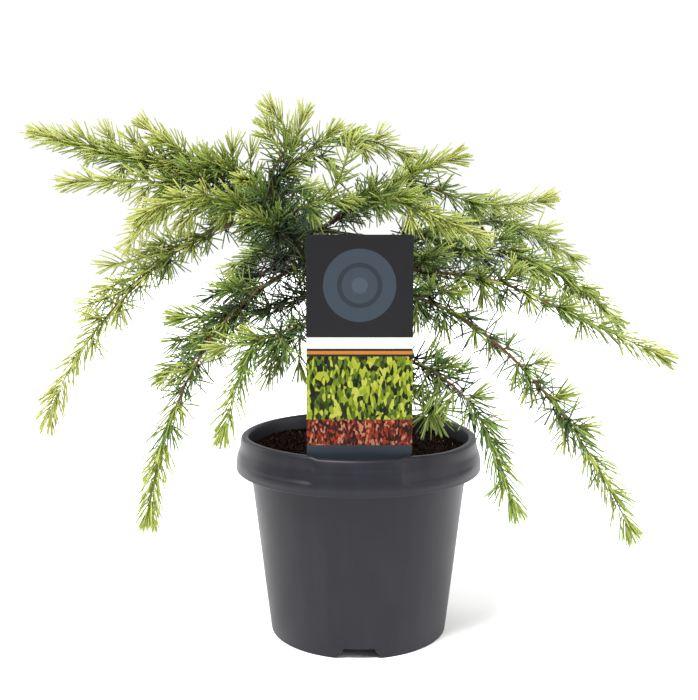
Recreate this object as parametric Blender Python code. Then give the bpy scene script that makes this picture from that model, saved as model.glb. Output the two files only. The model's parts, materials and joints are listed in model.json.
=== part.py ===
"""A dwarf spreading deodar cedar in its round nursery pot, with a plain plant card stuck in the soil.

The trunk leans to the left and ends in a short leader. Long shoots arch away from it on all sides: the left
ones climb and then fall, the right ones run out nearly level and hang past the collar. Each shoot is a
tapering limb worked out from a few named sizes. Its first stretch is a bare bough, and the rest carries
foliage: side twigs set round it in a spiral, and whorls of needles on both.

All sizes are millimetres until new_solid turns them to metres. The origin is on the pot's axis, at the level
that it stands on. X runs to the right of the card's face, Y away from it, Z up. A heading of 0 degrees is +X
and 90 degrees is +Y.
"""

import math
import random
from collections import namedtuple

import bpy
import numpy as np

MM = 0.001
GAP = 0.3  # left between solids that touch

# Pot
COLLAR_RADIUS = 95.2
COLLAR_TOP_RADIUS = 90.9
MOUTH_RADIUS = 85.7
LIP_DROP = 1.3  # where the card stands, over this many degrees to each side, then sloping back
LIP_DROP_HALF, LIP_DROP_END = 17, 21
FRONT_BULGE = 1.4
POT_HEIGHT = 155.0
FOOT_RADIUS = 68.2
WALL_SLOPE = 0.118
WALL = 1.7
FLOOR_UNDER = 7.2
FLOOR_TOP = 9.2
BOSS_RADIUS = 11.0
COLLAR_FOOT = 127.0
NOTCH_TOP = 6.5
NOTCH_HALF_WIDTHS = (19.8, 12.6)
NOTCH_HEADINGS = (270, 30, 150)
DRAIN_RADIUS = 4.5
DRAIN_RING = 46.0
DRAIN_COUNT = 6
DRAIN_HEADING = 37.0
CARD_HEADING = 270
SOIL_TOP = 144.7
SOIL_UNEVEN = 1.3

# Card
CARD_FACE_Y = -76.2
CARD_THICK = 0.8
CARD_HALF_WIDTH = 37.4
CARD_TOP = 312.2
CARD_NECK = 154.5
STAKE_HALF_WIDTH = 9.0
STAKE_FOOT = 96.0

# Trunk: (x, z) from the soil to the fork, then its radii
TRUNK_LEAN = ((0, SOIL_TOP + GAP), (-14, 221), (-41, 289), (-63, 318), (-66, 358))
TRUNK_FOOT = 5.4
TRUNK_FORK = 2.7
ROOT_FLARE = 3.2
ROOT_FLARE_HEIGHT = 9.0

# Shoots and needles
TIP_RADIUS = 0.75
STEM_SHARE = 0.9  # a stem inside foliage against its limb's own radius
TWIG_RADIUS = 0.95
TWIG_TIP_RADIUS = 0.6
TWIG_EVERY = 15.0
TWIG_LONGEST = 46.0
TWIG_SHORTEST = 11.0
TWIG_SHORTENS = 0.8
LONG_LIMB = 170.0
TWIG_SHARES = (1, 0.75, 0.5, 0.35)
TWIG_TRIES = (0, 65, -65, 130)
SPIRAL = 137.5
WHORL_EVERY = 13.0
WHORL_BAND = 3.2
NEEDLES_A_WHORL = 5
NEEDLE = 18.5
NEEDLES_AHEAD = 12.0
NEEDLE_ROOT = 0.6
CLEAR = 0.5
SPACE_CLEAR = 0.9

# name, what it grows from, place there (height on the trunk, or distance along a limb), heading, the angle
# above level at which it leaves, its reach and the height of its tip, the angle at which it arrives, how far
# it keeps to those two angles as shares of the straight distance, the bare bough's length, the length at
# which a second mass begins (0 for none), and the radius where it starts
Limb = namedtuple(
    "Limb", "name parent place heading leaves reach tip arrives keeps_out keeps_in bough bend thick"
)
LIMBS = [
    Limb("leader", "trunk", 357, 180, 88, 4, 414, 85, 0.3, 0.3, 0, 0, 2.2),
    Limb("leader_side", "trunk", 345, 15, 55, 31, 409, 72, 0.3, 0.3, 0, 0, 1.8),
    Limb("crown_right", "trunk", 338, 20, 72, 122, 370, -30, 0.4, 0.15, 0, 0, 2.0),
    Limb("crown_back", "trunk", 330, 70, 40, 112, 366, 5, 0.35, 0.35, 0, 0, 2.0),
    Limb("crown_front", "trunk", 322, 250, 45, 62, 350, -5, 0.35, 0.35, 0, 0, 1.8),
    Limb("left_upper", "trunk", 338, 178, 18, 104, 404, 46, 0.29, 0.25, 0, 0, 2.0),
    Limb("left_top", "trunk", 328, 172, 30, 194, 384, 19, 0.33, 0.45, 45, 118, 2.7),
    Limb("left_level", "trunk", 319, 185, 34, 167, 345, -4, 0.4, 0.4, 0, 0, 2.3),
    Limb("left_mid", "trunk", 303, 204, 50, 121, 318, -48, 0.38, 0.34, 0, 0, 1.9),
    Limb("left_arch", "trunk", 311, 195, 42, 172, 165, -84, 0.26, 0.36, 42, 135, 2.9),
    Limb("left_back", "trunk", 298, 160, -30, 115, 186, -36, 0.5, 0.35, 32, 0, 2.2),
    Limb("left_drop", "trunk", 288, 218, -20, 134, 102, -89, 0.46, 0.22, 40, 112, 2.9),
    Limb("left_low", "trunk", 266, 205, -18, 122, 253, 6, 0.44, 0.42, 0, 0, 1.9),
    Limb("left_front", "trunk", 250, 235, -14, 117, 169, -66, 0.7, 0.7, 34, 0, 2.3),
    Limb("front_left", "trunk", 303, 240, 30, 66, 322, -10, 0.35, 0.35, 0, 0, 1.7),
    Limb("right_top", "trunk", 305, 350, 17, 139, 371, 10, 0.38, 0.37, 50, 0, 3.1),
    Limb("right_front", "right_top", 34, 328, 44, 135, 308, -17, 0.4, 0.4, 22, 0, 1.9),
    Limb("right_back", "right_top", 36, 15, 43, 185, 339, 16, 0.56, 0.6, 24, 112, 2.1),
    Limb("right_rear", "right_top", 23, 22, 7, 238, 281, -31, 0.38, 0.53, 34, 138, 2.2),
    Limb("front_crown", "trunk", 316, 318, 38, 82, 333, -12, 0.35, 0.35, 0, 0, 1.8),
    Limb("right_level", "trunk", 279, 5, 2, 248, 237, -42, 0.42, 0.58, 58, 150, 2.8),
    Limb("right_long", "trunk", 292, 352, -7, 278, 220, -24, 0.68, 0.7, 58, 165, 3.0),
    Limb("right_drop", "trunk", 270, 335, 0, 252, 103, -64, 0.5, 0.2, 60, 160, 3.0),
    Limb("front_drop", "trunk", 232, 318, -12, 169, 119, -69, 0.7, 0.5, 52, 118, 2.7),
    Limb("front_low", "trunk", 206, 322, -8, 92, 166, -75, 0.31, 0.36, 0, 0, 1.7),
    Limb("back_right", "trunk", 262, 58, 12, 172, 262, -34, 0.4, 0.4, 46, 0, 2.5),
    Limb("back_high", "trunk", 296, 92, 28, 188, 290, -26, 0.4, 0.4, 46, 0, 2.6),
    Limb("back_left", "trunk", 281, 127, 14, 165, 252, -42, 0.4, 0.4, 44, 0, 2.5),
    Limb("back_low", "trunk", 240, 84, 2, 150, 176, -62, 0.42, 0.4, 42, 0, 2.4),
]


def round_angles():
    """Headings of the pot's facets in degrees, closer together round the card's notch."""
    near = [CARD_HEADING + 4 * step for step in range(-7, 8)]
    far = np.linspace(near[-1], near[0] + 360, 38)[1:-1]
    return near + list(far)


def wall_radius(height):
    return FOOT_RADIUS + WALL_SLOPE * height


def material(name, rgb, roughness):
    made = bpy.data.materials.new(name)
    made.use_nodes = True
    shader = made.node_tree.nodes["Principled BSDF"]
    shader.inputs["Base Color"].default_value = (*rgb, 1.0)
    shader.inputs["Roughness"].default_value = roughness
    shader.inputs["Metallic"].default_value = 0.0
    return made


def new_solid(name, points, faces, look, owner=None):
    """A mesh object from points in millimetres."""
    mesh = bpy.data.meshes.new(name)
    mesh.from_pydata([tuple(np.asarray(p, float) * MM) for p in points], [], faces)
    mesh.materials.append(look)
    made = bpy.data.objects.new(name, mesh)
    (owner or bpy.context.scene.collection).objects.link(made)
    return made


def cutter(name, points, faces, look):
    made = new_solid(name, points, faces, look)
    made.hide_render = True
    made.display_type = "WIRE"
    return made


def boolean(target, tool, operation):
    """Cuts or joins a tool, which is an object or a collection of them."""
    step = target.modifiers.new(tool.name, "BOOLEAN")
    step.operation = operation
    if isinstance(tool, bpy.types.Collection):
        step.operand_type = "COLLECTION"
        step.collection = tool
        step.solver = "MANIFOLD"
    else:
        step.object = tool
        step.solver = "EXACT"


def apply_modifiers(target):
    seen = target.evaluated_get(bpy.context.evaluated_depsgraph_get())
    result = bpy.data.meshes.new_from_object(seen)
    target.modifiers.clear()
    target.data = result


def turned(profile, angles):
    """Points and faces of a (radius, height) profile turned round Z. It starts and ends on the axis."""
    points = [(0, 0, profile[0][1])]
    for radius, height in profile[1:-1]:
        for angle in angles:
            turn = math.radians(angle)
            points.append((radius * math.cos(turn), radius * math.sin(turn), height))
    points.append((0, 0, profile[-1][1]))
    count, rings, last = len(angles), len(profile) - 2, len(points) - 1
    faces = []
    for j in range(count):
        k = (j + 1) % count
        faces.append((0, 1 + k, 1 + j))
        for i in range(rings - 1):
            low, high = 1 + i * count, 1 + (i + 1) * count
            faces.append((low + j, low + k, high + k, high + j))
        faces.append((last, last - count + j, last - count + k))
    return np.array(points), faces


def prism(outline, depth):
    """Points and faces of a counter-clockwise (x, z) outline from y = 0 back to y = depth."""
    count = len(outline)
    points = [(x, 0, z) for x, z in outline] + [(x, depth, z) for x, z in outline]
    faces = [tuple(range(count)), tuple(range(2 * count - 1, count - 1, -1))]
    for j in range(count):
        k = (j + 1) % count
        faces.append((j, count + j, count + k, k))
    return np.array(points, float), faces


def turn_about_z(points, degrees):
    turn = math.radians(degrees)
    spin = np.array([[math.cos(turn), -math.sin(turn), 0], [math.sin(turn), math.cos(turn), 0], [0, 0, 1]])
    return points @ spin.T


def off_heading(points, heading):
    """How far each point's heading is from the one given, in degrees."""
    away = np.degrees(np.arctan2(points[:, 1], points[:, 0])) - heading
    return np.abs((away + 180) % 360 - 180)


def soft_step(value, low, high):
    share = np.clip((value - low) / (high - low), 0, 1)
    return share * share * (3 - 2 * share)


def make_pot(look):
    """The moulded shell: foot ring, raised floor with a centre boss, wall, rolled lip and hanging collar."""
    inner = wall_radius(0) - WALL
    profile = [
        (0, 0),
        (BOSS_RADIUS, 0),
        (BOSS_RADIUS + 0.8, FLOOR_UNDER),
        (inner - 1.2, FLOOR_UNDER),
        (inner, 0.4),
        (inner + 0.4, 0),
        (FOOT_RADIUS - 1.0, 0),
        (wall_radius(1) - 0.3, 0.8),
        (wall_radius(3), 3),
        (wall_radius(120), 120),
        (wall_radius(150), 150),
        (88.6, 151.2),
        (COLLAR_RADIUS - 2.0, COLLAR_FOOT + 2.5),
        (COLLAR_RADIUS - 1.4, COLLAR_FOOT),
        (COLLAR_RADIUS - 0.6, COLLAR_FOOT + 0.6),
        (COLLAR_RADIUS, COLLAR_FOOT + 3),
        (COLLAR_RADIUS - 0.2, COLLAR_FOOT + 6),
        (COLLAR_TOP_RADIUS + 1.1, POT_HEIGHT - 8),
        (COLLAR_TOP_RADIUS, POT_HEIGHT - 2.4),
        (COLLAR_TOP_RADIUS - 1.1, POT_HEIGHT - 0.6),
        ((COLLAR_TOP_RADIUS + MOUTH_RADIUS) / 2, POT_HEIGHT),
        (MOUTH_RADIUS + 0.6, POT_HEIGHT - 0.3),
        (MOUTH_RADIUS, POT_HEIGHT - 1.4),
        (wall_radius(150) - WALL, 149.5),
        (wall_radius(FLOOR_TOP) - WALL, FLOOR_TOP),
        (0, FLOOR_TOP),
    ]
    points, faces = turned(profile, round_angles())
    away = off_heading(points, CARD_HEADING)
    radius = np.hypot(points[:, 0], points[:, 1])
    front = 1 - soft_step(away, LIP_DROP_HALF, LIP_DROP_END)
    drop = LIP_DROP * front * soft_step(points[:, 2], POT_HEIGHT - 7, POT_HEIGHT - 2)
    points[:, 2] -= drop * (radius > MOUTH_RADIUS - 0.7)
    skirt = (radius > COLLAR_TOP_RADIUS - 1.4) * soft_step(points[:, 2], COLLAR_FOOT + 4, POT_HEIGHT - 9)
    bulge = FRONT_BULGE * front * skirt
    points[:, :2] *= (1 + bulge / np.maximum(radius, 1))[:, None]
    pot = new_solid("pot", points, faces, look)

    foot, top = NOTCH_HALF_WIDTHS
    side = [(foot, -2)] + [(top + (foot - top) * s**1.6, NOTCH_TOP * (1 - s)) for s in (1, 0.66, 0.33, 0)]
    outline = side + [(-x, z) for x, z in reversed(side)]
    for number, heading in enumerate(NOTCH_HEADINGS):
        shape, sides = prism(outline, 20)
        shape[:, 1] += -FOOT_RADIUS - 8
        shape = turn_about_z(shape, heading - CARD_HEADING)
        boolean(pot, cutter(f"foot_notch_{number}", shape, sides, look), "DIFFERENCE")

    for number in range(DRAIN_COUNT):
        heading = DRAIN_HEADING + 360 * number / DRAIN_COUNT
        steps = [2 * math.pi * step / 10 for step in range(10)]
        hole = [(DRAIN_RADIUS * math.cos(a), DRAIN_RADIUS * math.sin(a)) for a in steps]
        shape, sides = prism(hole, -6)
        shape = shape[:, [0, 2, 1]] + (DRAIN_RING, 0, FLOOR_TOP + 2)
        shape = turn_about_z(shape, heading)
        boolean(pot, cutter(f"drain_{number}", shape, sides, look), "DIFFERENCE")
    return pot


def make_soil(look):
    """The filled inside, a little uneven on top and level round the trunk, with a slot for the stake."""
    fit = WALL + GAP + 0.1
    profile = [
        (0, FLOOR_TOP + GAP),
        (wall_radius(FLOOR_TOP) - fit, FLOOR_TOP + GAP),
        (wall_radius(SOIL_TOP) - fit, SOIL_TOP - 1.5),
        (68, SOIL_TOP),
        (48, SOIL_TOP),
        (28, SOIL_TOP),
        (12, SOIL_TOP),
        (0, SOIL_TOP),
    ]
    points, faces = turned(profile, round_angles())
    lumps = random.Random("soil")
    for point in points:
        if point[2] > SOIL_TOP - 2 and math.hypot(point[0], point[1]) > 13:
            point[2] += SOIL_UNEVEN * lumps.uniform(-1, 0.6)
    soil = new_solid("soil", points, faces, look)
    wide, deep = STAKE_HALF_WIDTH + GAP, CARD_THICK + 2 * GAP
    neck = (STAKE_HALF_WIDTH + GAP + 3, SOIL_TOP + 20)
    outline = [(wide, STAKE_FOOT - 1), neck, (-neck[0], neck[1]), (-wide, STAKE_FOOT - 1)]
    shape, sides = prism(outline, deep)
    shape[:, 1] += CARD_FACE_Y - GAP
    boolean(soil, cutter("stake_slot", shape, sides, look), "DIFFERENCE")
    return soil


def make_card(look):
    """A flat card whose lower end narrows to a pointed stake."""
    half = [
        (0, STAKE_FOOT),
        (STAKE_HALF_WIDTH - 2, STAKE_FOOT + 10),
        (STAKE_HALF_WIDTH, SOIL_TOP),
        (STAKE_HALF_WIDTH, 147.5),
        (30, 148.5),
        (CARD_HALF_WIDTH - 1.2, CARD_NECK),
        (CARD_HALF_WIDTH, CARD_NECK + 2),
        (CARD_HALF_WIDTH, CARD_TOP - 1.2),
        (CARD_HALF_WIDTH - 1.2, CARD_TOP),
    ]
    outline = half + [(-x, z) for x, z in reversed(half[1:])]
    points, faces = prism(outline, CARD_THICK)
    points[:, 1] += CARD_FACE_Y
    return new_solid("plant_card", points, faces, look)


def smooth_run(knots, per_span):
    """Points on a Catmull-Rom curve through the knots."""
    ends = [2 * knots[0] - knots[1], *knots, 2 * knots[-1] - knots[-2]]
    found = []
    for a, b, c, d in zip(ends, ends[1:], ends[2:], ends[3:]):
        for share in np.arange(per_span) / per_span:
            cubic = (2 * a - 5 * b + 4 * c - d) * share**2 + (3 * b - a - 3 * c + d) * share**3
            found.append((2 * b + (c - a) * share + cubic) / 2)
    return np.array([*found, knots[-1]])


def lengths_along(path):
    return np.concatenate([[0], np.cumsum(np.linalg.norm(np.diff(path, axis=0), axis=1))])


def point_at(path, distance):
    run = lengths_along(path)
    return np.array([np.interp(distance, run, path[:, k]) for k in range(3)])


def stretch(path, start, end, step):
    """The path between two distances along it, with points about a step apart."""
    count = max(2, int(round((end - start) / step)) + 1)
    return np.array([point_at(path, d) for d in np.linspace(start, end, count)])


def unit(vector):
    return vector / max(np.linalg.norm(vector), 1e-9)


def frames(path):
    """For each point the path's direction and two directions across it, carried along without a twist."""
    ahead = [unit(b - a) for a, b in zip(path[:-1], path[1:])]
    ahead = [ahead[0]] + [unit(a + b) for a, b in zip(ahead[:-1], ahead[1:])] + [ahead[-1]]
    start = (0, 0, 1) if abs(ahead[0][2]) < 0.9 else (0, 1, 0)
    side = unit(np.cross(ahead[0], start))
    found = []
    for direction in ahead:
        side = unit(side - direction * side.dot(direction))
        found.append((direction, side, np.cross(direction, side)))
    return found


def tube(path, radii, sides):
    """A closed tube with flat ends."""
    points, faces, rings = [], [], len(path)
    for centre, radius, (_, side, up) in zip(path, radii, frames(path)):
        for j in range(sides):
            turn = 2 * math.pi * j / sides
            points.append(centre + radius * (math.cos(turn) * side + math.sin(turn) * up))
    for i in range(rings - 1):
        for j in range(sides):
            k = (j + 1) % sides
            low, high = i * sides, (i + 1) * sides
            faces.append((low + j, low + k, high + k, high + j))
    faces.append(tuple(range(sides - 1, -1, -1)))
    faces.append(tuple(range((rings - 1) * sides, rings * sides)))
    return points, faces


def make_trunk(look):
    knots = [np.array([x, 0.0, z]) for x, z in TRUNK_LEAN]
    path = smooth_run(knots, 5)
    path[0] = knots[0]
    path = np.insert(path, 1, [path[0] + (path[1] - path[0]) * share for share in (0.25, 0.6)], axis=0)
    run = lengths_along(path)
    share = run / run[-1]
    radii = TRUNK_FOOT + (TRUNK_FORK - TRUNK_FOOT) * share**0.8
    radii = radii + ROOT_FLARE * np.exp(-run / ROOT_FLARE_HEIGHT)
    points, faces = tube(path, radii, 10)
    for point in points[:10]:
        point[2] = knots[0][2]
    new_solid("trunk", points, faces, look)
    return path, radii


def segments_apart(p, q, starts, ends):
    """The shortest distance from the straight piece p to q to each of many straight pieces."""
    u, v, w = q - p, ends - starts, p - starts
    a, c = u.dot(u), np.einsum("ij,ij->i", v, v)
    b, d, e = v @ u, w @ u, np.einsum("ij,ij->i", v, w)
    flat = a * c - b * b
    s = np.clip(np.where(flat > 1e-9, (b * e - c * d) / np.maximum(flat, 1e-9), 0), 0, 1)
    t = np.clip((b * s + e) / np.maximum(c, 1e-9), 0, 1)
    s = np.clip((b * t - d) / max(a, 1e-9), 0, 1)
    return np.linalg.norm(w + s[:, None] * u - t[:, None] * v, axis=1)


class Taken:
    """The straight pieces that later growth has to miss, each with its radius."""

    def __init__(self):
        self.starts, self.ends, self.radii = [], [], []

    def add(self, p, q, radius):
        self.starts.append(p)
        self.ends.append(q)
        self.radii.append(radius)

    def add_path(self, path, radii):
        for p, q, radius in zip(path[:-1], path[1:], radii):
            self.add(p, q, radius)

    def misses(self, p, q, radius, clear):
        if not self.starts:
            return True
        apart = segments_apart(p, q, np.array(self.starts), np.array(self.ends))
        return bool(np.all(apart - np.array(self.radii) - radius > clear))


def limb_path(start, limb):
    """A smooth run that keeps, at both ends, to the angle the limb gives. Its last needles reach the tip."""
    turn = math.radians(limb.heading)
    out = np.array([math.cos(turn), math.sin(turn), 0])
    end = np.array([start[0], start[1], limb.tip]) + limb.reach * out
    chord = np.linalg.norm(end - start)
    leave, arrive = math.radians(limb.leaves), math.radians(limb.arrives)
    first = start + chord * limb.keeps_out * (math.cos(leave) * out + (0, 0, math.sin(leave)))
    last = end - chord * limb.keeps_in * (math.cos(arrive) * out + (0, 0, math.sin(arrive)))
    t = np.linspace(0, 1, 61)[:, None]
    path = (1 - t) ** 3 * start + 3 * (1 - t) ** 2 * t * first + 3 * (1 - t) * t**2 * last + t**3 * end
    return stretch(path, 0, lengths_along(path)[-1] - NEEDLES_AHEAD, 4)


def limb_radius(limb, distance, length):
    return TIP_RADIUS + (limb.thick - TIP_RADIUS) * (1 - distance / length) ** 1.1


def clear_start(path, radius, sides, host_path, host_radii):
    """The distance along a limb at which its cut end is one gap clear of what it grows from."""
    host_end, host_ahead = host_path[-1], unit(host_path[-1] - host_path[-2])
    distance = 0.0
    while distance < lengths_along(path)[-1]:
        ends = [point_at(path, distance), point_at(path, distance + 2)]
        corners, _ = tube(ends, [radius, radius], sides)
        apart = []
        for corner in [ends[0], *corners[:sides]]:
            beside = segments_apart(corner, corner + (0, 0, 1e-6), host_path[:-1], host_path[1:]) - host_radii[:-1]
            beyond = (corner - host_end).dot(host_ahead)
            apart.append(max(beside.min(), beyond))
        if min(apart) >= GAP:
            break
        distance += 0.1
    return distance


def outside_pot(points):
    """True where the points keep clear of pot, soil and card, and of the view of the card's face."""
    radius = np.hypot(points[:, 0], points[:, 1])
    above = (points[:, 2] > POT_HEIGHT + 2) | (radius > COLLAR_RADIUS + 4)
    above |= (radius < 80) & (points[:, 2] > SOIL_TOP + 4)
    card = (np.abs(points[:, 0]) < CARD_HALF_WIDTH + 2) & (points[:, 1] < CARD_FACE_Y + 3)
    return bool(np.all(above & ~(card & (points[:, 2] < CARD_TOP + 2))))


class Foliage:
    """One mass: its stem and what has grown on it, inside the space nearer to this stem than to the others."""

    def __init__(self, name, limb, path, start, end):
        self.name, self.limb, self.path = name, limb, path
        self.start, self.end = start, end
        self.line = stretch(path, start, end, 4)
        self.taken = Taken()
        self.shoots = []

    def holds(self, points, others):
        """True if every point lies in this mass's own space."""
        own = np.linalg.norm(points[:, None] - self.line[None], axis=2).min(axis=1)
        other = np.linalg.norm(points[:, None] - others[None], axis=2).min(axis=1)
        return bool(np.all(own + 2 * SPACE_CLEAR < other)) and outside_pot(points)


def twig_path(root, direction, length):
    """A twig leaves its stem in one direction and sinks a little towards its tip."""
    t = np.linspace(0, 1, 5)[:, None]
    end = root + length * unit(direction + (0, 0, -0.22))
    middle = root + 0.5 * length * direction
    return (1 - t) ** 2 * root + 2 * (1 - t) * t * middle + t**2 * end


def room_for_twig(mass, root, direction, wanted, stem_clear, limbs_taken, others):
    """The twig's path, as long as its room allows, or None where there is too little."""
    for share in TWIG_SHARES:
        length = wanted * share
        if length < TWIG_SHORTEST:
            return None
        path = twig_path(root, direction, length)
        free = stretch(path, stem_clear, length * 0.97, 4)
        if mass.holds(free, others) and all(
            limbs_taken.misses(p, q, TWIG_RADIUS, CLEAR) and mass.taken.misses(p, q, TWIG_RADIUS, CLEAR)
            for p, q in zip(free[:-1], free[1:])
        ):
            return path
    return None


def grow_twigs(mass, limbs_taken, others):
    """Side twigs in a spiral up the stem, shorter towards the tip, left out or cut where they have no room."""
    limb, total = mass.limb, lengths_along(mass.path)[-1]
    chance = random.Random(limb.name)
    place, roll = limb.bough + 9.0, chance.uniform(0, 360)
    while place < total - 12:
        roll += SPIRAL
        spread = math.radians(chance.uniform(42, 58))
        wanted = TWIG_LONGEST * (1 - TWIG_SHORTENS * place / total) * chance.uniform(0.65, 1.1)
        wanted *= min(1.0, total / LONG_LIMB)
        lean = roll + chance.uniform(-20, 20)
        if mass.start + 5 < place < mass.end - 5:
            ahead, side, up = frames(stretch(mass.path, place - 1, place + 1, 1))[1]
            root = point_at(mass.path, place)
            stem_clear = (limb_radius(limb, place, total) + 2) / math.sin(spread)
            for turned_by in TWIG_TRIES:
                turn = math.radians(lean + turned_by)
                across = math.cos(turn) * side + math.sin(turn) * up
                direction = unit(math.cos(spread) * ahead + math.sin(spread) * across)
                path = room_for_twig(mass, root, direction, wanted, stem_clear, limbs_taken, others)
                if path is not None:
                    radii = np.linspace(TWIG_RADIUS, TWIG_TIP_RADIUS, len(path))
                    radii[0] = 0.4
                    mass.shoots.append([path, radii, False])
                    clear = stretch(path, 4, lengths_along(path)[-1], 4)
                    mass.taken.add_path(clear, [TWIG_RADIUS] * len(clear))
                    break
        place += TWIG_EVERY * chance.uniform(0.85, 1.15)


def shoot_rings(length, spacing, tail):
    """Distances of a shoot's rings and, for each, whether a whorl stands in the band above it."""
    count = max(1, int((length - tail) / spacing))
    rings = [(0.0, False)]
    for number in range(count):
        low = (number + 0.55) * (length - tail) / count
        rings += [(low, True), (low + WHORL_BAND, False)]
    return rings


def spiny(mass, path, radii, flat_end, chance, limbs_taken, others):
    """One shoot: a three-sided core whose faces in each whorl are drawn out into needles."""
    run = lengths_along(path)
    tail = 0 if flat_end else 3
    rings = shoot_rings(run[-1], WHORL_EVERY, tail)
    if flat_end:
        rings.append((run[-1], False))
    else:
        rings[-1] = (run[-1] - 1.5, False)
        rings[-2] = (run[-1] - 1.5 - WHORL_BAND, True)
    centres = np.array([point_at(path, d) for d, _ in rings])
    widths = np.interp([d for d, _ in rings], run, radii)
    across = frames(centres)
    points, faces = [], []
    for number, (centre, radius, (_, side, up)) in enumerate(zip(centres, widths, across)):
        for j in range(3):
            turn = math.radians(120 * j + 60 * (number % 2))
            points.append(centre + radius * (math.cos(turn) * side + math.sin(turn) * up))
    for number in range(len(rings) - 1):
        low, high = 3 * number, 3 * number + 3
        shift = number % 2
        band = []
        for j in range(3):
            k = (j + 1) % 3
            facing = high + (j + shift) % 3
            band.append((low + j, low + k, facing))
            band.append((low + k, high + (j + shift + 1) % 3, facing))
        if not rings[number][1]:
            faces += band
            continue
        order = list(range(6))
        chance.shuffle(order)
        drawn = 0
        near_tip = run[-1] - rings[number][0] < 16 and not flat_end
        for index in order:
            a, b, c = band[index]
            root = (points[a] + points[b] + points[c]) / 3
            ahead = across[number][0]
            outward = unit(root - (centres[number] + centres[number + 1]) / 2)
            outward = unit(outward - ahead * outward.dot(ahead))
            lean = math.radians(chance.uniform(24, 34) if near_tip else chance.uniform(46, 60))
            length = NEEDLE * chance.uniform(0.82, 1.05)
            tip = root + length * unit(math.cos(lean) * ahead + math.sin(lean) * outward)
            free = root + 0.2 * (tip - root)
            sample = np.linspace(free, tip, 5)
            fits = drawn < NEEDLES_A_WHORL and mass.holds(sample, others)
            fits = fits and limbs_taken.misses(free, tip, NEEDLE_ROOT, CLEAR)
            fits = fits and mass.taken.misses(free, tip, NEEDLE_ROOT, CLEAR)
            if not fits:
                faces.append(band[index])
                continue
            drawn += 1
            mass.taken.add(free, tip, NEEDLE_ROOT)
            points.append(tip)
            needle = len(points) - 1
            faces += [(a, b, needle), (b, c, needle), (c, a, needle)]
    # The points of the needles come after the rings' own, so both ends can still be found by number.
    faces.append((2, 1, 0))
    last = 3 * (len(rings) - 1)
    if flat_end:
        faces.append((last, last + 1, last + 2))
    else:
        points.append(path[-1])
        end = len(points) - 1
        faces += [(last, last + 1, end), (last + 1, last + 2, end), (last + 2, last, end)]
    return points, faces


def keep_largest_piece(target):
    """Drops loose scraps, and the inner skin of any hollow that joining has sealed."""
    mesh = target.data
    parent = list(range(len(mesh.vertices)))

    def find(i):
        while parent[i] != i:
            parent[i] = parent[parent[i]]
            i = parent[i]
        return i

    for edge in mesh.edges:
        a, b = (find(v) for v in edge.vertices)
        parent[a] = b
    groups = {}
    for vertex in range(len(parent)):
        groups.setdefault(find(vertex), []).append(vertex)
    if len(groups) < 2:
        return
    kept = max(groups.values(), key=len)
    renumber = {old: new for new, old in enumerate(kept)}
    points = [mesh.vertices[v].co[:] for v in kept]
    faces = [tuple(renumber[v] for v in f.vertices) for f in mesh.polygons if f.vertices[0] in renumber]
    cleaned = bpy.data.meshes.new(target.name)
    cleaned.from_pydata(points, [], faces)
    cleaned.materials.append(mesh.materials[0])
    target.data = cleaned


def make_mass(mass, limbs_taken, others, look):
    """Joins a mass's shoots into one solid."""
    chance = random.Random(mass.name)
    helpers = bpy.data.collections.new(f"{mass.name}_shoots")
    bpy.context.scene.collection.children.link(helpers)
    made = None
    for number, (path, radii, flat_end) in enumerate(mass.shoots):
        shape = spiny(mass, path, radii, flat_end, chance, limbs_taken, others)
        if number == 0:
            made = new_solid(mass.name, *shape, look)
        else:
            new_solid(f"{mass.name}_shoot_{number}", *shape, look, helpers)
    if helpers.objects:
        boolean(made, helpers, "UNION")
        apply_modifiers(made)
        for helper in list(helpers.objects):
            bpy.data.objects.remove(helper)
        keep_largest_piece(made)
    bpy.data.collections.remove(helpers)
    return made


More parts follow.
